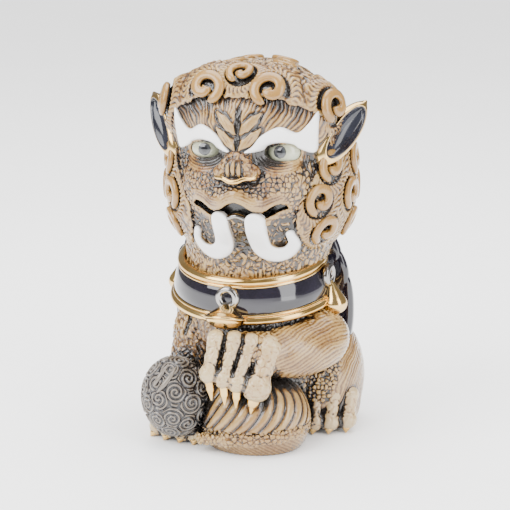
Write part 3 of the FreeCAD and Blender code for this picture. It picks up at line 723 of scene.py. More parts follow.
def ramp(tree, value, stops):
    made = node(tree, "ShaderNodeValToRGB", Fac=value)
    elements = made.color_ramp.elements
    while len(elements) < len(stops):
        elements.new(0.5)
    for element, (place, colour) in zip(elements, stops):
        element.position = place
        element.color = (*colour, 1)
    return made.outputs["Color"]


def blend_colours(tree, share, a, b, how="MIX"):
    made = node(tree, "ShaderNodeMix", {"data_type": "RGBA", "blend_type": how})
    for socket, value in ((made.inputs["Factor"], share), (made.inputs[6], a), (made.inputs[7], b)):
        if isinstance(value, bpy.types.NodeSocket):
            tree.links.new(value, socket)
        elif socket.type == "RGBA":
            socket.default_value = (*value, 1)
        else:
            socket.default_value = value
    return made.outputs[2]


def attribute(tree, name):
    return node(tree, "ShaderNodeAttribute", {"attribute_name": name}).outputs["Fac"]


def noise(tree, scale, detail=3.0, roughness=0.55):
    place = node(tree, "ShaderNodeNewGeometry").outputs["Position"]
    made = node(tree, "ShaderNodeTexNoise", Vector=place, Scale=scale, Detail=detail, Roughness=roughness)
    return made.outputs["Fac"]


def finish_glaze(tree, colour, rough, bump_height=None, bump=0.2, **uniform):
    made = node(tree, "ShaderNodeBsdfPrincipled", Base_Color=colour, Roughness=rough)
    for key, value in uniform.items():
        made.inputs[key.replace("_", " ")].default_value = value
    if bump_height is not None:
        lift = node(tree, "ShaderNodeBump", Height=bump_height, Strength=bump, Distance=0.0002)
        tree.links.new(lift.outputs["Normal"], made.inputs["Normal"])
    out = node(tree, "ShaderNodeOutputMaterial")
    tree.links.new(made.outputs[0], out.inputs["Surface"])


def wash_and_shade_glaze(name, pale, warm, dark=(0.012, 0.009, 0.007), patch=(0.46, 0.25, 0.08), patchy=0.5, depth=1.0):
    """Glaze pale on the ridges and dark in every groove, partly a glaze wash and partly painted shade; painted shade
    also darkens it where other forms shelter it, and warm patches are sprayed over it.
    """
    glaze, tree = new_glaze(name)
    # relief: pale on the ridges, dark in the grooves, partly a glaze wash and partly painted shade
    relief = attribute(tree, "relief")
    open_air = attribute(tree, "open")
    speck = math_node(tree, "MULTIPLY", math_node(tree, "SUBTRACT", noise(tree, 900), 0.5), 0.22)
    # painted shade: darker where other forms or the floor crowd the surface, scaled by depth
    painted_shade = math_node(tree, "MULTIPLY", math_node(tree, "SUBTRACT", 1.0, open_air), 0.55 * depth)
    level = math_node(tree, "SUBTRACT", math_node(tree, "ADD", relief, speck), painted_shade, clamp=True)
    brown = tuple(0.35 * w + 0.65 * d for w, d in zip(warm, dark))
    colour = ramp(tree, level, [(0.0, dark), (0.30, dark), (0.40, brown), (0.50, warm), (0.63, pale), (1.0, pale)])
    spread = ramp(tree, noise(tree, 55, 4.0), [(0.44, (0, 0, 0)), (0.66, (1, 1, 1))])
    tint = math_node(tree, "MULTIPLY", spread, patchy)
    tint = math_node(tree, "MAXIMUM", tint, attribute(tree, "tint"), clamp=True)
    colour = blend_colours(tree, tint, colour, blend_colours(tree, 0.8, colour, patch, "MULTIPLY"))
    rough = node(tree, "ShaderNodeMapRange", Value=noise(tree, 400), To_Min=0.16, To_Max=0.34).outputs[0]
    finish_glaze(tree, colour, rough, noise(tree, 1500, 2.0), 0.15, IOR=1.5, Coat_Weight=0.7, Coat_Roughness=0.08)
    return glaze


def smooth_glaze(name, high, low, scale=60.0, rough=(0.05, 0.14), edge=None, bump=0.05, **uniform):
    """Plain glossy glaze; its tone drifts a little, and it can turn to another colour in its own hollows, partly thin
    glaze and partly painted shade, and as painted shade where other forms shelter it.
    """
    glaze, tree = new_glaze(name)
    colour = ramp(tree, noise(tree, scale), [(0.35, low), (0.65, high)])
    # edge colour: painted shade, partly thin glaze, where the relief and the openness are low
    if edge is not None:
        level = math_node(tree, "ADD", attribute(tree, "relief"),
                          math_node(tree, "MULTIPLY", math_node(tree, "SUBTRACT", attribute(tree, "open"), 1.0), 0.5))
        keep = ramp(tree, level, [(edge[0], (0, 0, 0)), (edge[1], (1, 1, 1))])
        colour = blend_colours(tree, keep, edge[2], colour)
    gloss = node(tree, "ShaderNodeMapRange", Value=noise(tree, scale * 3), To_Min=rough[0], To_Max=rough[1]).outputs[0]
    finish_glaze(tree, colour, gloss, noise(tree, 250, 2.0), bump, **uniform)
    return glaze


IVORY, PALE_IVORY = (0.34, 0.215, 0.075), (0.45, 0.34, 0.18)
OCHRE = (0.15, 0.07, 0.016)

FUR = wash_and_shade_glaze("ivory_fur_glaze", IVORY, OCHRE)
TOE = wash_and_shade_glaze("ivory_toe_glaze", PALE_IVORY, (0.40, 0.26, 0.12), patchy=0.35)
CURL = wash_and_shade_glaze("ochre_curl_glaze", (0.28, 0.15, 0.034), (0.20, 0.098, 0.02), patchy=0.25, depth=0.8)
SMOKE = wash_and_shade_glaze("smoke_curl_glaze", (0.15, 0.125, 0.10), (0.055, 0.045, 0.04), dark=(0.010, 0.009, 0.010),
                patch=(0.5, 0.4, 0.3), patchy=0.3)
# The edge colours below are painted shade in the hollows and where other forms shelter the glaze, partly thin glaze
# too.
WHITE = smooth_glaze("white_enamel", (0.86, 0.855, 0.85), (0.80, 0.79, 0.785), rough=(0.06, 0.12),
                     edge=(0.04, 0.16, (0.42, 0.28, 0.14)), Coat_Weight=0.6, Coat_Roughness=0.05)
BLACK = smooth_glaze("black_glaze", (0.010, 0.008, 0.016), (0.004, 0.003, 0.006), rough=(0.04, 0.10),
                     Coat_Weight=0.8, Coat_Roughness=0.04)
GOLD = smooth_glaze("gold_lustre", (0.86, 0.60, 0.25), (0.72, 0.44, 0.14), rough=(0.10, 0.22),
                    edge=(0.05, 0.36, (0.10, 0.05, 0.02)), Metallic=1.0)
SILVER = smooth_glaze("platinum_lustre", (0.42, 0.40, 0.38), (0.22, 0.20, 0.19), rough=(0.12, 0.25),
                      edge=(0.05, 0.40, (0.03, 0.025, 0.022)), Metallic=1.0)


def ear_glaze():
    """Gold outside and along the rim, black glaze in the hollow."""
    glaze, tree = new_glaze("ear_glaze")
    inside = attribute(tree, "inside")
    gold = ramp(tree, noise(tree, 60), [(0.35, (0.62, 0.38, 0.12)), (0.65, (0.84, 0.58, 0.24))])
    black = ramp(tree, noise(tree, 80), [(0.35, (0.006, 0.006, 0.010)), (0.65, (0.022, 0.024, 0.036))])
    colour = blend_colours(tree, inside, gold, black)
    shine = node(tree, "ShaderNodeMapRange", Value=noise(tree, 200), To_Min=0.10, To_Max=0.22).outputs[0]
    made = node(tree, "ShaderNodeBsdfPrincipled", Base_Color=colour, Roughness=shine,
                Metallic=math_node(tree, "SUBTRACT", 1.0, inside, clamp=True))
    made.inputs["Coat Weight"].default_value = 0.4
    out = node(tree, "ShaderNodeOutputMaterial")
    tree.links.new(made.outputs[0], out.inputs["Surface"])
    return glaze


def eye_glaze():
    """Pale green-ivory ball with a smoky ring and a black pupil."""
    glaze, tree = new_glaze("eye_glaze")
    ball = ramp(tree, noise(tree, 150), [(0.35, (0.34, 0.35, 0.24)), (0.65, (0.42, 0.43, 0.31))])
    iris = ramp(tree, attribute(tree, "iris"), [(0.0, (0.006, 0.006, 0.008)), (0.42, (0.008, 0.008, 0.010)),
                                                (0.52, (0.035, 0.038, 0.042)), (0.86, (0.055, 0.058, 0.062)),
                                                (0.94, (0.02, 0.02, 0.024)), (1.0, (0.02, 0.02, 0.024))])
    inside = ramp(tree, attribute(tree, "iris"), [(0.96, (1, 1, 1)), (1.0, (0, 0, 0))])
    colour = blend_colours(tree, inside, ball, iris)
    rough = node(tree, "ShaderNodeMapRange", Value=noise(tree, 300), To_Min=0.05, To_Max=0.10).outputs[0]
    finish_glaze(tree, colour, rough, Coat_Weight=1.0, Coat_Roughness=0.03)
    return glaze


EAR, EYE = ear_glaze(), eye_glaze()


# Sculpting ----------------------------------------------------------------------------------------

def shade_field():
    """Coarse field of the whole figurine, for how open the air is in front of a point; the glazes paint shade from it.
    """
    whole = Clay((-62, -62, -1), (66, 66, 186), 1.4)
    for form in ALL_FORMS:
        one = Clay((-62, -62, -1), (66, 66, 186), 1.4)
        for shape, blend, how in form:
            one.work(shape, blend, how)
        whole.d = np.minimum(whole.d, one.d)
    # The floor joins the field, so painted shade darkens the pieces near the ground.
    ground = whole.axes[2][None, None, :]
    whole.d = np.minimum(whole.d, ground + 6.0)
    return whole


SHADE = shade_field()


def openness(points, normals):
    """1 in the open, towards 0 in narrow places between the forms; the glazes paint shade where it is low."""
    total = np.zeros(len(points), np.float32)
    for far in (2.5, 5.0, 8.0):
        total += np.clip(SHADE.at(points + normals * far) / far, 0, 1) / 3
    return np.clip((total - 0.25) / 0.65, 0, 1)


def block(form, margin=3.0, cell=CELL, low=None, high=None):
    """Clay just large enough for a form, filled with it."""
    lows = np.min([shape.low for shape, _, how in form if how == "add"], axis=0) - margin
    highs = np.max([shape.high for shape, _, how in form if how == "add"], axis=0) + margin
    lows = lows if low is None else np.maximum(lows, low)
    highs = highs if high is None else np.minimum(highs, high)
    lows[2] = max(lows[2], -1.5)
    clay = Clay(lows, highs, cell)
    for shape, blend, how in form:
        clay.work(shape, blend, how)
    return clay


def trim(clay):
    """Closes the clay at its block's walls and at the ground."""
    clay.d = np.maximum(clay.d, 0.02 - clay.axes[2][None, None, :])
    edge = 1.5 * clay.cell
    for i in range(3):
        shape = [1, 1, 1]
        shape[i] = -1
        ax = clay.axes[i]
        wall = np.maximum(ax[0] + edge - ax, ax - ax[-1] + edge).reshape(shape)
        clay.d = np.maximum(clay.d, wall.astype(np.float32))
    return clay


def finish_clay(name, clay, material, nodes, slot, contrast=0.55, blur=1.1, **extra):
    """Meshes a block of clay and puts it in the frame. Extra attributes are functions of points."""
    trim(clay)
    points, quads = clay.surface()
    normals = clay.slope(points)
    # relief gives the glaze pale ridges and dark grooves, partly wash and partly painted shade; open gives painted
    # shade between the forms
    soft = clay.at(points, clay.blurred(max(1, round(blur / clay.cell))))
    relief = np.clip(0.5 + soft / contrast * 0.5, 0, 1)
    values = {"relief": relief, "open": openness(points, normals), "tint": np.zeros(len(points), np.float32)}
    for label, rule in extra.items():
        values[label] = rule(points, normals)
    a, b, c = (points[quads[:, i]] for i in range(3))
    facing = np.einsum("ij,ij->i", np.cross(b - a, c - a), normals[quads[:, 0]])
    if np.median(facing) < 0:
        quads = quads[:, ::-1]
    piece = add_object(name, points, quads, material, **values)
    return place(piece, nodes, slot)


def place(piece, nodes, slot):
    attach(piece, "root")
    if nodes:
        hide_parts(*nodes)
    return piece


def plain_values(count, relief=1.0):
    return {"relief": np.full(count, relief, np.float32), "open": np.ones(count, np.float32),
            "tint": np.zeros(count, np.float32)}


# Mane ---------------------------------------------------------------------------------------------

def march(clay, start, way, reach=70.0, step_mm=0.4):
    """Last point inside the clay on the way out from start."""
    start, way = np.array(start, np.float32), np.array(way, np.float32)
    way = way / np.linalg.norm(way)
    t = np.arange(0, reach, step_mm, dtype=np.float32)
    inside = clay.at(start + t[:, None] * way) < 0
    last = t[np.nonzero(inside)[0][-1]] if inside.any() else 0.0
    return start + way * (last + step_mm / 2)


def seat(clay, points, rounds=3):
    """Moves points onto the clay's surface."""
    for _ in range(rounds):
        points = points - clay.slope(points) * clay.at(points)[:, None]
    return points


def curl_frames(clay):
    frames = []
    for bearing, z, radius, hand in CURLS:
        a = math.radians(bearing)
        point = march(clay, (HEAD_X, HEAD_Y, z), (math.sin(a), -math.cos(a), 0))
        out = clay.slope(point[None])[0]
        up = np.array([0, 0, 1.0]) - out * out[2]
        up = up / np.linalg.norm(up)
        frames.append((point, np.cross(up, out), up, out, radius * CURL_SCALE, hand))
    return frames


def mane_height(frames):
    def height(foot, normal):
        fur = tufts(foot, 3.0, (0.15, 0.1, -1), 3, 1.25)
        total = fur
        for point, across, up, out, radius, hand in frames:
            gap = foot - point
            near = np.nonzero((gap ** 2).sum(1) < (1.9 * radius) ** 2)[0]
            u, v = gap[near] @ across.astype(np.float32), gap[near] @ up.astype(np.float32)
            r = np.hypot(u, v)
            angle = np.arctan2(v, u)
            fringe = ridge(angle * 15 / math.pi + 0.5 * np.sin(r * 0.9), 0.6) * 1.0 + 0.15
            fringe = fringe * np.clip(1.25 - np.abs(r / radius - 1.25) * 1.6, 0, 1)
            ring = step(1.75, 1.35, r / radius)
            inner = step(1.12, 0.92, r / radius)
            mixed = total[near] * (1 - ring) + ring * fringe
            hair = ridge(angle * 13 / math.pi, 0.6) * 0.5 - 1.5
            total[near] = mixed * (1 - inner) + inner * hair
        return total
    return height


def sweep(stations, sides=12, flat=0.72):
    """Closed ribbon along (point, side, out, half width, half height) stations."""
    points, faces = [], []
    for point, side, out, wide, high in stations:
        for k in range(sides):
            a = 2 * math.pi * k / sides
            c, s = math.cos(a), math.sin(a)
            c = math.copysign(abs(c) ** flat, c)
            s = math.copysign(abs(s) ** flat, s)
            points.append(point + side * (wide * c) + out * (high * s))
    for j in range(len(stations) - 1):
        for k in range(sides):
            a, b = j * sides + k, j * sides + (k + 1) % sides
            faces.append((a, b, b + sides, a + sides))
    return np.array(points), np.array(faces)


def caps(count, sides):
    """Fans of four-sided faces that close both ends of a sweep."""
    faces = []
    for base, order in ((0, -1), ((count - 1) * sides, 1)):
        for k in range(0, sides - 2, 2):
            face = (base, base + k + 1, base + k + 2, base + (k + 3) % sides)
            if len(set(face)) == 4:
                faces.append(face[::order])
    return faces


def curl_ribbon(clay, frame):
    point, across, up, out, radius, hand = frame
    steps = 46
    width = RIBBON * radius
    stations = []
    flat = []
    for k in range(steps + 1):
        t = k / steps
        angle = -math.pi / 2 - 0.25 * hand - hand * 2 * math.pi * CURL_TURNS * t
        reach = radius * (1 - 0.20 * t - 0.66 * max(0.0, (t - 0.45) / 0.55) ** 1.2) - width
        reach = max(reach, 0.10 * radius)
        flat.append(point + across * (reach * math.cos(angle)) + up * (reach * math.sin(angle)))
    seats = seat(clay, np.array(flat, np.float32))
    outs = clay.slope(seats)
    for k in range(steps + 1):
        t = k / steps
        along = seats[min(k + 1, steps)] - seats[max(k - 1, 0)]
        along = along / max(np.linalg.norm(along), 1e-6)
        side = np.cross(along, outs[k])
        end = min(k, steps - k) / 4.0
        close = math.sqrt(max(1 - (1 - min(end, 1.0)) ** 2, 0.0))
        wide = width * (1.0 + 0.12 * math.sin(math.pi * t) + 0.15 * max(0.0, (t - 0.8) / 0.2))
        lift = seats[k] + outs[k] * (0.5 - 0.4 * max(0.0, (t - 0.6) / 0.4))
        stations.append((lift, side, outs[k], max(wide * close, 0.03), max(1.6 * close, 0.03)))
    return stations


def make_mane():
    clay = block(MANE_FORM, 3.5, CELL)
    bare = block(MANE_FORM, 3.5, 0.8)
    frames = curl_frames(bare)
    clay.work(loop_prism(WINDOW, -70, -8), 2.0, "cut")
    clay.engrave(mane_height(frames))
    finish_clay("mane_carved", clay, FUR, ["mane"], "ivory_fur", contrast=0.9, blur=1.5)
    points, faces = [], []
    relief = []
    for frame_of_curl in frames:
        stations = curl_ribbon(bare, frame_of_curl)
        p, f = sweep(stations, 12)
        faces += [tuple(q + len(points) for q in face) for face in list(f) + caps(len(stations), 12)]
        points += list(p)
        # Crown of each ribbon pale and its underside dark, partly glaze wash and partly painted shade where it lies on
        # the mane.
        for _ in stations:
            for k in range(12):
                s = math.sin(2 * math.pi * k / 12)
                relief.append(0.50 + 0.42 * s if s > -0.2 else 0.2)
    values = plain_values(len(points))
    values["relief"] = np.array(relief, np.float32)
    piece = add_object("mane_ribbons", points, faces, CURL, **values)
    place(piece, ["mane_curls"], "ochre_curl")


make_mane()


# Face ---------------------------------------------------------------------------------------------

FACE_LOW, FACE_HIGH = (-36, -56, 74), (46, 12, 172)


def front(clay, x, z, from_y=-56.0):
    """How far forward the clay reaches at each (x, z)."""
    points = []
    for px, pz in zip(np.atleast_1d(x), np.atleast_1d(z)):
        points.append(march(clay, (px, 0.0, pz), (0, -1, 0), 56.0, 0.15))
    return np.array(points)


def mix(low, high, share):
    return low + (high - low) * share


def face_height(foot, normal):
    x, y, z = foot.T
    u = x - MID
    # forehead strands fan out from below the brows
    away = np.hypot(u, z - 112)
    angle = np.arctan2(u, z - 112)
    wave = 0.55 * np.sin(away / 3.1 + 2.0 * np.abs(angle)) + 0.35 * wander(foot, 9, 5)
    strands = 0.42 * ridge(angle * 40 / 1.55 + wave, 0.7) + 0.35 * ridge(angle * 40 / 6.2 + 0.4 * wave, 0.6)
    total = strands
    # crest of leaves between the brows, split by a dark line
    leaf = np.full(len(foot), 9.0, np.float32)
    for stroke in LEAVES:
        leaf = np.minimum(leaf, stroke_distance([(MID + a, b, c * 1.15) for a, b, c in stroke], x, z))
    ribs = 0.3 * ridge((np.abs(u) * 0.8 - z * 0.6) / 1.15, 0.7)
    crest = 1.25 * step(0.9, -0.8, leaf) + ribs - 0.35
    near_crest = step(2.4, 0.4, leaf) * step(163, 158, z)
    total = mix(total, crest, near_crest)
    seam = step(1.5, 0.3, np.abs(u) - 0.03 * (z - 142)) * step(139, 143, z) * step(164, 158, z)
    total = total - 1.1 * seam
    # below the brows: pebbled skin
    first, second, name = cells(foot / 2.3, 21)
    pebbles = 0.62 * step(0.02, 0.32, second - first) - 0.42 + 0.25 * (name - 0.5)
    lower = step(141.5, 138.5, z)
    skin = mix(pebbles, 0.35 * wander(foot, 3.0, 8), step(15.5, 19, np.abs(u)) * step(126, 129, z) * 0.0)
    total = mix(total, skin, lower)
    # wrinkles round the eyes
    for side in ("left", "right"):
        gap = loop_distance(EYE_SLITS[side], x, z)
        under = step(7.0, 4.5, gap) * step(142.5, 140.0, z)
        rings = 0.34 * ridge(gap / 1.15, 0.7) + 0.1
        total = mix(total, rings, under)
    # muzzle: lines that follow the upper lip
    lip_z = np.interp(u, [a for a, _ in LIP_CURVE], [b for _, b in LIP_CURVE])
    over = z - lip_z
    lines = 0.30 * ridge(over / 1.35 + 0.25 * np.sin(u / 2.2), 0.75) + 0.05
    muzzle = step(-0.5, 0.4, over) * step(8.8, 6.0, over + 0.10 * np.abs(u)) * step(24, 19, np.abs(u))
    total = mix(total, lines, muzzle)
    smooth_lip = step(-0.4, 0.2, over) * step(2.6, 1.4, over) * step(22, 17, np.abs(u))
    total = mix(total, 0.25, smooth_lip)
    # cheeks behind, chin and throat: fur
    behind = step(24.5, 28, np.abs(u)) * lower
    below = step(113.5, 110.5, z)
    fur = tufts(foot, 2.5, (0.1, 0, -1), 31, 1.15)
    total = mix(total, fur, np.maximum(behind, below))
    pit = step(6.4, 4.4, np.hypot(u * 1.1, (z - 103.5) * 0.55))
    total = total - 1.0 * pit
    return total


def face_tint(points, normals):
    x, y, z = points.T
    u = np.abs(x - MID)
    near_nose = step(11, 5, np.hypot(u - 13, (z - 130.5) * 1.2))
    return np.clip(near_nose * (0.65 + 0.5 * wander(points, 5, 77)), 0, 1)


def patch_over(name, bare, outline, thick, material, nodes, slot, gap=None, puff=1.9, **more):
    """Enamelled patch that lies over the face inside an outline, rounded at its edges."""
    clay = Clay(bare.low, bare.high, FINE)
    low, high = outline
    where = clay.window((low[0], -56, low[1]), (high[0], -4, high[1]), 3.0)
    x, z = clay.axes[0][where[0]], clay.axes[2][where[2]]
    flat = gap(x[:, None], z[None, :]).astype(np.float32)[:, None, :]
    cover = bare.d[where]
    y = clay.axes[1][where[1]][None, :, None]
    body = soft_max(cover - thick, np.broadcast_to(flat, cover.shape), puff)
    body = np.maximum(body, -(cover + 1.8))
    clay.d[where] = np.maximum(body, y + 8.0)
    small = Clay(np.array([clay.axes[i][where[i]][0] for i in range(3)]),
                 np.array([clay.axes[i][where[i]][-1] for i in range(3)]), FINE)
    size = tuple(min(a, b) for a, b in zip(small.d.shape, clay.d[where].shape))
    small.d[:size[0], :size[1], :size[2]] = clay.d[where][:size[0], :size[1], :size[2]]
    return finish_clay(name, small, material, nodes, slot, contrast=1.3, blur=1.0, **more)


def make_face():
    bare = block(FACE_FORM, 3.5, FINE, FACE_LOW, FACE_HIGH)
    bare.high = np.array([axis[-1] for axis in bare.axes])
    for side in ("left", "right"):
        bare.work(loop_prism(EYE_SLITS[side], -56, -30), 1.6, "cut")
    clay = Clay(bare.low, bare.high, FINE)
    clay.d = bare.d.copy()
    clay.engrave(face_height)
    clay.work(loop_prism(MOUTH, -56, -41.0), 0.8, "cut")
    for outline in MOUTH_CORNERS.values():
        clay.work(loop_prism(outline, -56, -33.0), 0.8, "cut")
    for side, (x, y, z) in EYES.items():
        clay.work(Ball((x, y, z), np.array(EYE_RADII) + 0.1), 0.2, "cut")
    finish_clay("face_carved", clay, FUR, ["face_mask", "head_shell", "forehead_crest"], "ivory_fur",
                contrast=0.55, blur=1.0, tint=face_tint)
    for side in ("left", "right"):
        outline = BROWS[side]
        patch_over(side + "_brow_enamel", bare, (outline.min(0), outline.max(0)), 1.9, WHITE,
                   [side + "_brow"], "white_enamel", lambda x, z, o=outline: loop_distance(o, x, z))
        stroke = BEARD[side] + np.array([MID, 0, 0])
        low = stroke[:, :2].min(0) - 6
        high = stroke[:, :2].max(0) + 6
        patch_over(side + "_beard_enamel", bare, (low, high), 2.3, WHITE, [side + "_beard_curl"],
                   "white_enamel", lambda x, z, s=stroke: stroke_distance(s, x, z))
    return bare


def make_eyes():
    for side, gaze in (("left", (22.9, 141.3)), ("right", (-12.4, 141.0))):
        centre = np.array(EYES[side])
        points, faces = globe(48, 64)
        points = points * np.array(EYE_RADII) + centre
        away = np.hypot(points[:, 0] - gaze[0], points[:, 2] - gaze[1]) / 2.9
        away = np.where(points[:, 1] > centre[1], 2.0, away)
        piece = add_object(side + "_eye_ball", points, faces, EYE, iris=np.clip(away, 0, 1))
        place(piece, [side + "_eye"], "eye_glaze")


def globe(rings, sides):
    """Unit sphere of four-sided faces, pinched to small rings at the front and back."""
    points, faces = [], []
    for j in range(rings + 1):
        t = math.pi * (0.003 + 0.994 * j / rings)
        for k in range(sides):
            a = 2 * math.pi * k / sides
            points.append((math.sin(t) * math.cos(a), -math.cos(t), math.sin(t) * math.sin(a)))
    for j in range(rings):
        for k in range(sides):
            a, b = j * sides + k, j * sides + (k + 1) % sides
            faces.append((a, b, b + sides, a + sides))
    return np.array(points), np.array(faces + caps(rings + 1, sides))


def nose_height(foot, normal):
    """Three smooth lobes in the middle of the muzzle's tip, with folds round them."""
    x, y, z = foot.T
    u = x - MID
    gap = np.full(len(foot), 9.0, np.float32)
    for at, top, half in NOSE_LOBES:
        gap = np.minimum(gap, np.hypot((u - at) / half, (z - top) / 3.4) - 1)
    front_of = step(NOSE_Y - 2.0, NOSE_Y - 4.0, y)
    lobes = mix(-0.75, 0.45, step(0.25, -0.25, gap)) * front_of * step(1.6, 0.8, gap)
    first, second, name = cells(foot / 2.6, 17)
    folds = (0.5 * step(0.02, 0.25, second - first) - 0.3) * step(0.5, 1.0, gap)
    return lobes + folds


def make_nose(face):
    clay = block(NOSE_FORM, 3.0, FINE, high=(60, -34, 200))
    clay.engrave(nose_height)
    finish_clay("nose_carved", clay, FUR, ["nose"], "ivory_fur", contrast=0.9, blur=1.0,
                tint=lambda p, n: 0.85 * step(NOSE_Y - 4.5, NOSE_Y - 1.5, p[:, 1]))
    line = smooth_points([(MID + x, NOSE_Y + y, z, r) for x, y, z, r in NOSE_GILDING])
    form = [(Bar(line, 0.4), 0, "add")]
    gilding = block(form, 2.0, 0.3)
    finish_clay("nose_gilding", gilding, GOLD, [], "gold_lustre", contrast=2.0)


def smooth_points(rows, pieces=5):
    """Catmull-Rom points through (x, y, z, radius) rows."""
    p = np.array(rows, np.float32)
    p = np.vstack([2 * p[0] - p[1], p, 2 * p[-1] - p[-2]])
    out = []
    for k in range(1, len(p) - 2):
        a, b, c, d = p[k - 1:k + 3]
        for s in range(pieces):
            t = s / pieces
            out.append(0.5 * (2 * b + (c - a) * t + (2 * a - 5 * b + 4 * c - d) * t ** 2
                              + (3 * b - a - 3 * c + d) * t ** 3))
    out.append(p[-2])
    return np.array(out)


def make_lip(face):
    rows = []
    for x, z in LIP:
        y = front(face, MID + x, z)[0][1]
        rows.append((MID + x, y - 0.3, z, 1.0))
    rows[0] = (*rows[0][:3], 0.6)
    rows[-1] = (*rows[-1][:3], 0.6)
    clay = block([(Bar(smooth_points(rows), 0.3), 0, "add")], 2.0, 0.3)
    finish_clay("lower_lip_lustre", clay, SILVER, ["lower_lip"], "platinum_lustre", contrast=2.0)


FACE = make_face()
make_eyes()
make_nose(FACE)
make_lip(FACE)


# Ears ---------------------------------------------------------------------------------------------

def make_ear(name, side):
    root = np.array([HEAD_X + side * 34, -24.0, 134.5])
    tip = np.array([HEAD_X + side * 51.0, -5.0, 161.0])
    along = (tip - root) / np.linalg.norm(tip - root)
    out = np.array([side * 0.62, -0.78, 0.0])
    out = out - along * (out @ along)
    out = out / np.linalg.norm(out)
    across = np.cross(along, out)
    turn = np.stack([across, out, along], 1).astype(np.float32)
    length = np.linalg.norm(tip - root)
    middle = (root + tip) / 2
    form = [
        (Ball(middle - along * 1.0, (7.8, 5.4, length / 2 - 0.5), turn), 0, "add"),
        (Bar([(*(middle + along * 3), 4.2), (*(tip - along * 4 - out * 0.5), 1.8), (*tip, 0.7)], 1.0), 3, "add"),
        (Ball(middle + out * 4.2 + along * 0.8, (5.4, 5.2, length / 2 - 4.0), turn), 1.4, "cut"),
        (Bar([(*(middle + out * 3.2 + along * 6), 3.0), (*(tip - along * 5 + out * 1.6), 1.0)], 1.0), 1.2, "cut"),
    ]
    clay = block(form, 2.5, 0.4)

    def inside(points, normals):
        scoop = np.minimum(form[2][0](*points.T), form[3][0](*points.T))
        return step(0.75, 0.45, scoop)

    finish_clay(name + "_ear_leaf", clay, EAR, [name + "_ear"], "gold_lustre", contrast=2.0, inside=inside)


make_ear("left", 1)
make_ear("right", -1)


# Body, legs and cub -------------------------------------------------------------------------------

def torso_height(foot, normal):
    return tufts(foot, 2.5, (0.1, 0, -1), 41, 1.15)


def arm_height(foot, normal):
    """Long strands down the forearm, tufts at the shoulder and wrist."""
    x, y, z = foot.T
    along = (x * 0.60 + y * 0.62 + z * 0.50) - 5.0
    phase = (z * 0.80 - x * 0.48 + y * 0.1) + 1.1 * np.sin(along / 7.0) + 0.5 * wander(foot, 12, 3)
    strands = 0.36 * ridge(phase / 1.45, 0.7) + 0.16 * ridge(phase / 5.6, 0.6) + 0.12
    fur = tufts(foot, 2.4, (-0.6, -0.5, -0.6), 43, 1.1)
    top = step(58.5, 62.5, z + 2.0 * wander(foot, 6, 9))
    wrist = step(22, 17.5, x + 2.0 * wander(foot, 5, 4)) * step(-24, -28, y)
    under = step(43.5, 40.0, z) * step(28, 20, x)
    return mix(strands, fur, np.clip(top + wrist + under, 0, 1))


def right_arm_height(foot, normal):
    fur = tufts(foot, 2.4, (0.2, -0.2, -1), 47, 1.15)
    crease = step(1.6, 0.2, np.abs(foot[:, 0] + 24.5 - 0.35 * (foot[:, 2] - 55)))
    return fur - 1.0 * crease * step(48, 52, foot[:, 2])


def haunch_height(side):
    def height(foot, normal):
        x, y, z = foot.T
        away = np.hypot(y - 30, z - 8)
        phase = away + 0.9 * np.sin(z / 6.0) + 0.5 * wander(foot, 10, 6)
        strands = 0.32 * ridge(phase / 1.5, 0.7) + 0.16 * ridge(phase / 6.0, 0.6) + 0.1
        first, second, name = cells(foot / 2.2, 51)
        pebbles = 0.95 * step(0.02, 0.3, second - first) - 0.62 + 0.3 * (name - 0.5)
        inner = step(44.5, 40.5, side * x + 0.25 * (30 - z) + 1.5 * wander(foot, 6, 2)) * step(14, 17, z)
        return mix(strands, pebbles, inner * step(6, 2, y + 3))
    return height


def cub_back_height(foot, normal):
    """Curved locks swept down to the spine, a striated strip under it."""
    x, y, z = foot.T
    bearing = np.arctan2(x - 8.5, -(y + 25.5))
    rise = np.clip((z - 9.0 - 0.06 * (x - 8.5)) / 22.0, 0, 1.3)
    phase = (25.0 * bearing + 15.0 * (1 - rise) ** 2) / 6.6
    lock = ridge(phase, 0.55)
    strand = ridge(phase * 5 + 0.35 * np.sin(z / 3.0), 0.75)
    swept = 1.05 * lock + 0.26 * strand
    first, second, name = cells(foot / 2.1, 61)
    bumps = 1.0 * step(0.02, 0.35, second - first) - 0.55 + 0.25 * (name - 0.5)
    slant = (z * 0.82 + 0.42 * 25 * bearing) / 1.35
    strip = 0.32 * ridge(slant, 0.7) + 0.05
    spine_z = 8.6 + 0.05 * x
    total = mix(swept, bumps, step(3.4, 2.2, np.abs(z - spine_z)))
    return mix(total, strip, step(spine_z - 2.4, spine_z - 3.4, z))


def spiral_centres(count=44):
    """Centres spread evenly over the cub's head, with a little disorder."""
    dice = np.random.default_rng(7)
    centres = []
    for k in range(count):
        h = 1 - 2 * (k + 0.5) / count
        a = k * 2.39996
        r = math.sqrt(1 - h * h)
        way = np.array([r * math.cos(a), r * math.sin(a), h]) + dice.normal(size=3) * 0.06
        way = way / np.linalg.norm(way)
        centres.append(CUB_HEAD_TURN @ (way * np.array(CUB_HEAD_RADII)) + np.array(CUB_HEAD_CENTRE))
    return np.array(centres, np.float32)


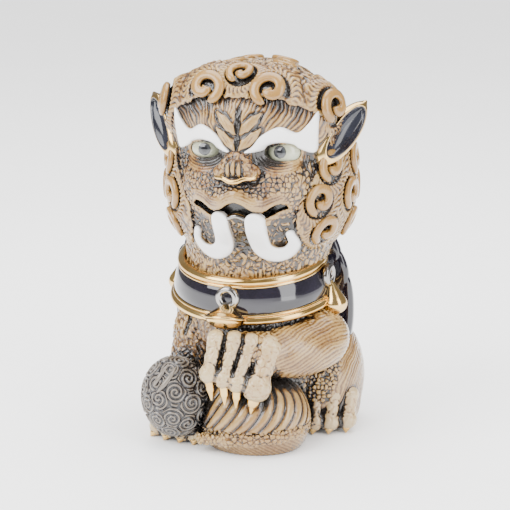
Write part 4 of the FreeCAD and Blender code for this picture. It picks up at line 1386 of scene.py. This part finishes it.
def cub_head_height(foot, normal):
    centres = spiral_centres()
    turns = np.random.default_rng(11).uniform(0, 2 * math.pi, len(centres))
    gaps = np.stack([((foot - c) ** 2).sum(1) for c in centres], 1)
    order = np.argsort(gaps, axis=1)[:, :2]
    nearest = order[:, 0]
    rim = np.sqrt(gaps[np.arange(len(foot)), order[:, 1]]) - np.sqrt(gaps[np.arange(len(foot)), nearest])
    gap = foot - centres[nearest]
    up = np.array([0.1, 0.2, 1.0], np.float32)
    side = np.cross(up, normal)
    side = side / np.maximum(np.linalg.norm(side, axis=1, keepdims=True), 1e-5)
    top = np.cross(normal, side)
    u, v = (gap * side).sum(1), (gap * top).sum(1)
    r, a = np.hypot(u, v), np.arctan2(v, u)
    hand = np.where(nearest % 3 == 0, -1.0, 1.0)
    phase = r / 2.0 - hand * (a + turns[nearest]) / (2 * math.pi)
    lines = 0.78 * (1 - np.abs(np.sin(math.pi * phase)) ** 0.9 * 1.55) + 0.1
    lines = np.clip(lines, -0.45, 0.5)
    return np.where(rim < 0.55, -0.45, lines)


def tail_height(foot, normal):
    x, y, z = foot.T
    phase = x + 2.2 * np.sin(z / 6.5) + 0.06 * z
    return 0.7 * ridge(phase / 4.2, 0.6) + 0.28 * ridge(phase / 1.3, 0.7)


def cape_height(foot, normal):
    x, y, z = foot.T
    spread = x * (1 - 0.004 * (z - 36)) + 2.0 * np.sin(z / 8.0) * np.sign(x)
    grooves = 0.75 * ridge(spread / 7.5, 0.55)
    rim = step(4.0, 2.0, z - CAPE_LOW) * 0.5
    return grooves + rim + 0.2


def toe_height(foot, normal):
    """Skin folded over the knuckles, with fine branching creases."""
    first, second, name = cells(foot / 4.4, 71)
    crease = step(0.0, 0.12, second - first + 0.1 * wander(foot, 2.0, 6))
    return 0.32 * crease - 0.2 + 0.10 * wander(foot, 3.0, 5)


def claw_height(foot, normal):
    return 0.05 * wander(foot, 4.0, 15)


def make_body():
    pieces = (
        ("torso_carved", TORSO_FORM, torso_height, "body_shell", 1.0),
        ("left_arm_carved", LEFT_ARM_FORM, arm_height, "left_foreleg", 0.6),
        ("right_arm_carved", RIGHT_ARM_FORM, right_arm_height, "right_foreleg", 0.9),
        ("left_haunch_carved", LEFT_HAUNCH_FORM, haunch_height(1), "left_haunch", 0.6),
        ("right_haunch_carved", RIGHT_HAUNCH_FORM, haunch_height(-1), "right_haunch", 0.6),
        ("cub_back_carved", CUB_BODY_FORM, cub_back_height, "cub_body", 0.75),
        ("tail_carved", TAIL_FORM, tail_height, "tail", 0.8),
    )
    for name, form, height, node_name, contrast in pieces:
        clay = block(form, 3.5, CELL)
        clay.engrave(height)
        finish_clay(name, clay, FUR, [node_name], "ivory_fur", contrast=contrast, blur=1.2)
    cape = block(CAPE_FORM, 2.5, 0.5)
    cape.engrave(cape_height)
    finish_clay("back_mane_carved", cape, BLACK, ["back_mane"], "black_glaze", contrast=1.2)
    head = block(CUB_HEAD_FORM, 2.5, 0.34)
    head.engrave(cub_head_height)
    finish_clay("cub_head_carved", head, SMOKE, ["cub_head"], "smoke_curl", contrast=0.6, blur=0.9)
    for name, rows in TOES.items():
        clay = block(toe_form(rows), 2.5, 0.38)
        clay.engrave(toe_height)
        finish_clay(name + "_toes_carved", clay, TOE, [name + "_toes"], "ivory_toe", contrast=0.7, blur=1.0)
        clay = block(claw_form(rows), 2.0, 0.34)
        finish_clay(name + "_claws_gilt", clay, GOLD, [name + "_claws"], "gold_lustre", contrast=2.5)


def spine_height(foot, normal):
    first, second, name = cells(foot / 2.4, 81)
    return 0.9 * step(0.02, 0.35, second - first) - 0.55


def make_cub_trim():
    clay = block(CUB_SPINE_FORM, 2.5, 0.38)
    clay.engrave(spine_height)
    finish_clay("cub_spine_carved", clay, FUR, ["cub_spine"], "ivory_fur", contrast=0.7, blur=1.0)
    head = block(CUB_HEAD_FORM, 4.0, 0.6)
    form = []
    for rows in ([(-33.5, 31, 0.5), (-31.6, 34.5, 1.2), (-29.6, 38.0, 0.9), (-28.2, 40.4, 0.3)],
                 [(-31.6, 28.5, 0.4), (-28.6, 32.0, 1.2), (-25.8, 36.2, 1.0), (-24.6, 39.4, 0.3)]):
        line = []
        for x, z, r in rows:
            point = march(head, (x, CUB_HEAD_CENTRE[1] + 6, z), (0, -1, 0), 40, 0.15)
            line.append((*point, r))
        form.append((Bar(smooth_points(line), 0.5), 0.5, "add"))
    clay = block(form, 2.0, 0.34)
    finish_clay("cub_ear_leaves", clay, SMOKE, ["cub_ear"], "smoke_curl", contrast=1.2, blur=0.9)


make_body()
make_cub_trim()


# Collar -------------------------------------------------------------------------------------------

COLLAR_Z, COLLAR_TILT, COLLAR_RADIUS, COLLAR_DEPTH = 76.5, math.radians(10.0), 36.6, 0.99
COLLAR_FLARE, BAND_HALF, RING_UP = 1.8, 7.0, 2.0
RINGS = {"front": -3.0, "left": 84.0, "right": -104.0}
BELL_LENGTHS = {"front": 11.4, "left": 16.0, "right": 16.0}


def collar_place(bearing, up, out):
    """Point on the collar from bearing in radians, height within the band and distance outside it."""
    reach = COLLAR_RADIUS + out - COLLAR_FLARE * up / BAND_HALF
    x = reach * math.sin(bearing)
    y = -reach * COLLAR_DEPTH * math.cos(bearing)
    c, s = math.cos(COLLAR_TILT), math.sin(COLLAR_TILT)
    return np.array([x, y * c - up * s + COLLAR_Y, y * s + up * c + COLLAR_Z])


def hoop(name, profile, material, nodes, slot, steps=220):
    """Closed band round the neck with a closed (out, up) profile; its edges thin towards the grooves."""
    points, faces = [], []
    n = len(profile)
    for j in range(steps):
        bearing = 2 * math.pi * j / steps
        for out, up in profile:
            points.append(collar_place(bearing, up, out))
    for j in range(steps):
        for k in range(n):
            a, b = j * n + k, j * n + (k + 1) % n
            c, d = ((j + 1) % steps) * n + (k + 1) % n, ((j + 1) % steps) * n + k
            faces.append((a, d, c, b))
    piece = add_object(name, points, faces, material, **plain_values(len(points)))
    return place(piece, nodes, slot)


def circle_profile(out, up, radius, sides=20, squash=1.0):
    return [(out + radius * math.cos(2 * math.pi * k / sides), up + radius * squash * math.sin(2 * math.pi * k / sides))
            for k in range(sides)]


def band_profile():
    """Shallow bulge outside, with rounded edges, and a flat back."""
    profile = [(-6, BAND_HALF)]
    for k in range(25):
        t = 1 - k / 12
        profile.append((-0.5 + 1.5 * (1 - abs(t) ** 3), BAND_HALF * t))
    profile.append((-6, -BAND_HALF))
    return profile[::-1]


def lathe(name, start, way, profile, material, nodes, slot, sides=48, level=None):
    """Solid turned about a line; profile lists (distance along, radius), level a relief for each."""
    start, way = np.array(start, float), np.array(way, float)
    way = way / np.linalg.norm(way)
    side = np.cross(way, (0.3, 0.2, 1.0))
    side = side / np.linalg.norm(side)
    other = np.cross(way, side)
    points, faces = [], []
    for along, radius in profile:
        for k in range(sides):
            a = 2 * math.pi * k / sides
            points.append(start + way * along + (side * math.cos(a) + other * math.sin(a)) * max(radius, 0.02))
    for j in range(len(profile) - 1):
        for k in range(sides):
            a, b = j * sides + k, j * sides + (k + 1) % sides
            faces.append((a, b, b + sides, a + sides))
    faces += caps(len(profile), sides)
    values = plain_values(len(points))
    if level is not None:
        values["relief"] = np.repeat(np.array(level, np.float32), sides)
    piece = add_object(name, points, faces, material, **values)
    return place(piece, nodes, slot)


def torus(name, centre, axis, radius, thick, material, nodes, slot):
    axis = np.array(axis, float) / np.linalg.norm(axis)
    side = np.cross(axis, (0, 0, 1.0))
    side = side / np.linalg.norm(side)
    other = np.cross(axis, side)
    points, faces = [], []
    rounds, sides = 64, 20
    for j in range(rounds):
        a = 2 * math.pi * j / rounds
        out = side * math.cos(a) + other * math.sin(a)
        for k in range(sides):
            b = 2 * math.pi * k / sides
            points.append(centre + out * (radius + thick * math.cos(b)) + axis * (thick * 1.1 * math.sin(b)))
    for j in range(rounds):
        for k in range(sides):
            a, b = j * sides + k, j * sides + (k + 1) % sides
            c, d = ((j + 1) % rounds) * sides + (k + 1) % sides, ((j + 1) % rounds) * sides + k
            faces.append((a, b, c, d))
    piece = add_object(name, points, faces, material, **plain_values(len(points)))
    return place(piece, nodes, slot)


def curve_profile(rows, pieces=6):
    return [tuple(p[:2]) for p in smooth_stroke([(a, b, 0) for a, b in rows], pieces)]


def make_collar():
    hoop("collar_band_glazed", band_profile(), BLACK, ["collar_band"], "black_glaze")
    edge = BAND_HALF + 1.8
    hoop("collar_roll_upper", circle_profile(-0.3, edge, 1.9), GOLD, ["collar_upper_piping"], "gold_lustre")
    hoop("collar_line_upper", circle_profile(0.2, BAND_HALF - 0.5, 0.7), GOLD, [], "gold_lustre")
    hoop("collar_roll_lower", circle_profile(-0.3, -edge, 1.9), GOLD, ["collar_lower_piping"], "gold_lustre")
    hoop("collar_line_lower", circle_profile(0.2, 0.5 - BAND_HALF, 0.65), GOLD, [], "gold_lustre")
    for name, degrees in RINGS.items():
        bearing = math.radians(degrees)
        out = np.array([math.sin(bearing), -math.cos(bearing), 0])
        at = collar_place(bearing, RING_UP, 1.4)
        torus(name + "_ring_lustre", at + out * 0.4, out, 4.0, 1.75, SILVER, [name + "_bell_ring"],
              "platinum_lustre")
        hang = at + out * 1.6 + np.array([0, 0, -2.6])
        foot = hang + out * (3.4 if name == "front" else 3.0) + np.array([0, 0, -BELL_LENGTHS[name]])
        length = np.linalg.norm(foot - hang)
        if name == "front":
            rows = [(0, 1.0), (0.10, 2.6), (0.22, 4.8), (0.38, 7.6), (0.48, 9.0), (0.53, 9.9), (0.60, 9.9),
                    (0.645, 8.8), (0.74, 8.2), (0.88, 6.0), (0.97, 2.6), (1.0, 0.05)]
        else:
            rows = [(0, 0.8), (0.10, 1.7), (0.36, 3.9), (0.64, 5.9), (0.83, 5.2), (0.95, 3.0), (1.0, 0.05)]
        profile = [(a * length, max(b, 0.02)) for a, b in curve_profile(rows)]
        lathe(name + "_bell_gilt", hang, foot - hang, profile, GOLD, [name + "_bell"], "gold_lustre")


make_collar()


# Floor, light and camera --------------------------------------------------------------------------

AZIMUTH, ELEVATION = math.radians(16.0), math.radians(13.0)
DISTANCE = 0.9
VIEW_WIDTH = 0.2426     # what the picture's width spans at the target
SENSOR = 36.0


def to_frame(x, y, z):
    return Vector((x * MM + ORIGIN[0], y * MM + ORIGIN[1], z * MM))


def make_floor():
    mesh = bpy.data.meshes.new("studio_floor")
    reach, sides = 3.0, 64
    points = [(reach * math.cos(2 * math.pi * k / sides), reach * math.sin(2 * math.pi * k / sides), 0)
              for k in range(sides)]
    mesh.from_pydata(points, [], [tuple(range(sides))])
    paint, tree = new_glaze("studio_paper")
    tone = ramp(tree, noise(tree, 3.0), [(0.3, (0.90, 0.90, 0.90)), (0.7, (0.93, 0.93, 0.93))])
    finish_glaze(tree, tone, 0.9)
    mesh.materials.append(paint)
    floor = bpy.data.objects.new("studio_floor", mesh)
    bpy.context.scene.collection.objects.link(floor)


def make_light(name, place_at, target, size, power, shape=(1.0, 1.0)):
    data = bpy.data.lights.new(name, "AREA")
    data.shape = "RECTANGLE"
    data.size, data.size_y = size * shape[0], size * shape[1]
    data.energy = power
    lamp = bpy.data.objects.new(name, data)
    lamp.location = place_at
    lamp.rotation_euler = (Vector(target) - Vector(place_at)).to_track_quat("-Z", "Y").to_euler()
    bpy.context.scene.collection.objects.link(lamp)


def make_world():
    world = bpy.data.worlds.new("studio")
    bpy.context.scene.world = world
    world.use_nodes = True
    tree = world.node_tree
    tree.nodes.clear()
    path = node(tree, "ShaderNodeLightPath")
    strength = node(tree, "ShaderNodeMapRange", Value=path.outputs["Is Glossy Ray"], To_Min=2.3, To_Max=0.35)
    back = node(tree, "ShaderNodeBackground", Strength=strength.outputs[0])
    back.inputs["Color"].default_value = (1, 1, 1, 1)
    out = node(tree, "ShaderNodeOutputWorld")
    tree.links.new(back.outputs[0], out.inputs["Surface"])


def make_camera():
    lens = bpy.data.cameras.new("camera")
    lens.sensor_width = SENSOR
    lens.lens = SENSOR * DISTANCE / VIEW_WIDTH
    lens.clip_start, lens.clip_end = 0.05, 20
    camera = bpy.data.objects.new("camera", lens)
    target = to_frame(0.91, 0.26, 84.5)
    way = Vector((-math.sin(AZIMUTH) * math.cos(ELEVATION), math.cos(AZIMUTH) * math.cos(ELEVATION),
                  -math.sin(ELEVATION)))
    camera.location = target - way * DISTANCE
    camera.rotation_euler = way.to_track_quat("-Z", "Y").to_euler()
    bpy.context.scene.collection.objects.link(camera)
    bpy.context.scene.camera = camera


make_floor()
make_light("key_box", (-0.55, -0.75, 0.75), (0, 0, 0.09), 0.8, 17)
make_light("fill_box", (0.85, -0.45, 0.45), (0, 0, 0.09), 0.7, 8, (0.6, 1.4))
make_light("top_box", (0.0, 0.15, 1.0), (0, 0, 0.09), 0.9, 14)
make_world()
make_camera()
